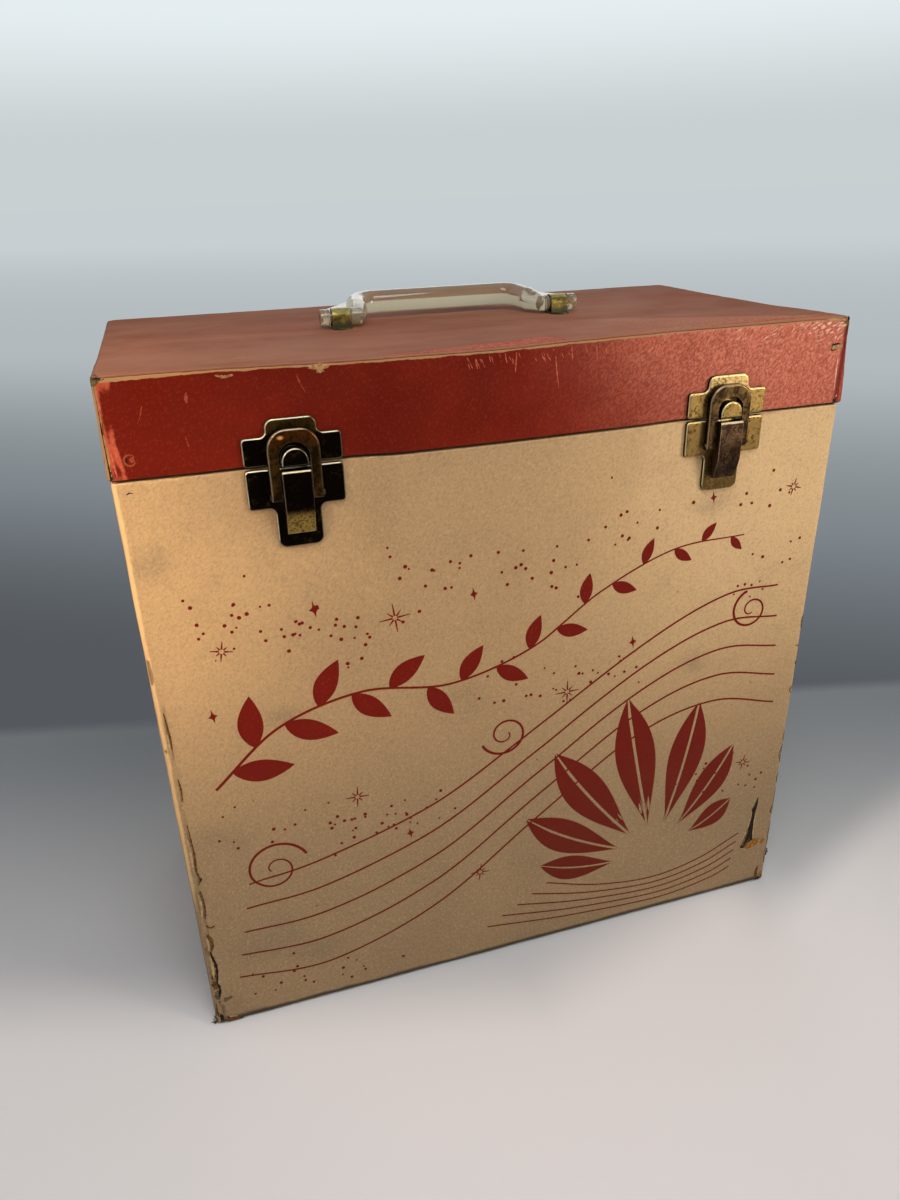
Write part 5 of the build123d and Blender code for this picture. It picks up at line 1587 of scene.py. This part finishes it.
def layOut(s):
    # one piece's shapes, spots, frays, nicks and cracks
    layer = Print(*s["on"])
    for shape in s.get("shapes", ()):
        layer.shape(*shape)
    for spot in s.get("spots", ()):
        layer.spot(*spot)
    for fray in s.get("frays", ()):
        layer.fray(*fray)
    for x, z, size, turn, seed in s.get("nicks", ()):
        layer.spot((x, z), size, 0.5, turn, seed)
    for x, top, bottom, lean, seed in s.get("cracks", ()):
        middle = (x + lean * 0.4, top * 0.5 + bottom * 0.5)
        layer.fray([(x, top), middle, (x + lean, bottom)], 0.5, seed, 0.5)
    return layer


def addCrackle(red, pale):
    # fine cracks at random along the front edge, then pale strokes that gather at the right corner:
    # distance from the corner goes with a power of an even draw
    s = crackleSet
    pick = np.random.default_rng(s["seed"])
    for k in range(s["fineCracks"]):
        x, top = (pick.uniform(low, high) for low, high in zip(s["fineFrom"], s["fineTo"]))
        red.fray([(x, top), (x + 0.4, top - 0.8), (x + 0.9, top - pick.uniform(1.2, 2.6))],
                 s["fineWidth"], 90 + k, 0.5)
    for k in range(s["strokes"]):
        x = s["strokesFrom"][0] - pick.uniform(0, 1) ** 1.6 * s["strokesReach"][0]
        z = s["strokesFrom"][1] - pick.uniform(0, 1) ** 2 * s["strokesReach"][1]
        end = (x - pick.uniform(1.2, 3.0), z - pick.uniform(0.8, 1.6))
        pale.fray([(x, z), (x - 0.8, z - 0.6), end], s["strokeWidth"], 200 + k, 0.5)


def addWedge(bare):
    # strips between a ragged near side and a far side that widens to the right, then closes
    s = wedgeSet
    x = np.linspace(s["from"], s["to"], s["steps"])
    near = s["near"] + ragged(x, 10, 85) * 0.4
    depth = (s["least"] + s["added"] * smooth(x, s["from"] + 2, 2)) * smooth(x, s["to"] + 1, 16)
    far = near + depth + ragged(x, 5, 86) * 0.9 * smooth(x, s["from"], -40)
    for k in range(s["steps"] - 1):
        bare.shape([(x[k], near[k]), (x[k + 1], near[k + 1]), (x[k + 1], far[k + 1]), (x[k], far[k])], 1)


def makeThreads():
    # flat slivers from a corner, each a thin diamond of three points along its length
    points, faces = [], []
    for corner, blades in threadSet:
        for reach, width in blades:
            tip = np.array(corner) + np.array(reach)
            middle = np.array(corner) * 0.55 + tip * 0.45
            side = np.cross(np.array(reach), [0, 1, 0.3])
            side = side / np.linalg.norm(side) * width / 2
            depth = np.array([0, width * 0.25, 0])
            a = len(points)
            points += [corner, middle + side - depth, middle - side - depth, middle + depth, tip]
            faces += [(a, a + 1, a + 2), (a, a + 2, a + 3), (a, a + 3, a + 1),
                      (a + 4, a + 2, a + 1), (a + 4, a + 3, a + 2), (a + 4, a + 1, a + 3)]
    addPiece("frayedThreads", np.array(points, float), [np.array(faces)], materials["wornThread"],
             *baseBoard, sharp=20)


def makeWornPlaces():
    # one piece for each entry of the dictionary, and the threads
    layers = {name: layOut(s) for name, s in wornSet.items()}
    addCrackle(layers["wornLidRed"], layers["wornLidPale"])
    addWedge(layers["wornTopRed"])
    for name, layer in layers.items():
        layer.finish(name, wornSet[name]["finish"], *wornSet[name]["rides"])
        if name == "wornBaseEdges":
            makeThreads()


makeWornPlaces()


# floor
floorSet = {
    "near": rgb(249, 246, 245), "side": rgb(206, 208, 210), "back": rgb(160, 167, 172),
    "shade": rgb(185, 189, 192),
    "backdrop": (rgb(85, 89, 94), rgb(122, 129, 134), rgb(178, 185, 188), rgb(200, 207, 210)),
    "edge": 0.178,  # the table ends this far back, m
    "edgeTurn": 14.0,  # degrees that its far edge turns towards the viewer at the right
    "half": 30.0,  # m
    "below": 0.0004,  # m
}


def makeFloor():
    # pale table, painted shadow beside and behind the case; past its far edge a glowing grey backdrop
    # with painted shade that brightens with distance; back is how far a point lies beyond the far edge
    s = floorSet
    half, low = s["half"], -s["below"]
    mesh = bpy.data.meshes.new("floor")
    mesh.from_pydata([(-half, -half, low), (half, -half, low), (half, half, low), (-half, half, low)],
                     [], [(0, 1, 2, 3)])
    finish = Finish("floorPaper", {"Specular IOR Level": 0.2})
    x, y = finish.x, finish.y
    turn = math.radians(s["edgeTurn"])
    back = x * math.sin(turn) + y * math.cos(turn) - s["edge"]
    # painted shadow of the case beside and behind it
    colour = finish.blend(step(y + x.size() * -0.30, -0.16, -0.09), s["near"], s["side"])
    # painted shadow at the case's back right
    right = step(y + x * -0.45, -0.209, -0.165) * step(x, 0.12, 0.20)
    colour = finish.blend(right * 0.8, colour, s["shade"])
    # painted shade towards the table's far edge
    colour = finish.blend(step(back, -0.24, -0.02), colour, s["back"])
    finish.wear(colour, step(finish.noise(400, 3), 0.3, 0.7, 0.75, 0.9))
    # the backdrop glows, with painted shade that is darkest near the table's edge
    far = back + x * 0.34
    backdrop, *shades = s["backdrop"]
    for shade, (start, end) in zip(shades, ((0.03, 0.62), (0.30, 1.9), (1.3, 8.0))):
        backdrop = finish.blend(step(far, start, end), backdrop, shade)
    glow = finish.node("Emission", {"Color": backdrop})
    camera, glossy, through = (finish.node("LightPath", {}, f"Is {kind} Ray")
                               for kind in ("Camera", "Glossy", "Transmission"))
    seen = camera.bigger(glossy.bigger(through) * step(y, -0.2, 0.4))
    plain = Wire(finish.tree, finish.shader.outputs[0])
    mix = finish.node("MixShader", {0: seen * step(back, -0.012, 0.010), 1: plain, 2: glow})
    mix.into(finish.tree.nodes["Material Output"].inputs["Surface"])
    mesh.materials.append(finish.material)
    floor = bpy.data.objects.new("floor", mesh)
    bpy.context.scene.collection.objects.link(floor)


makeFloor()
print("floor placed")
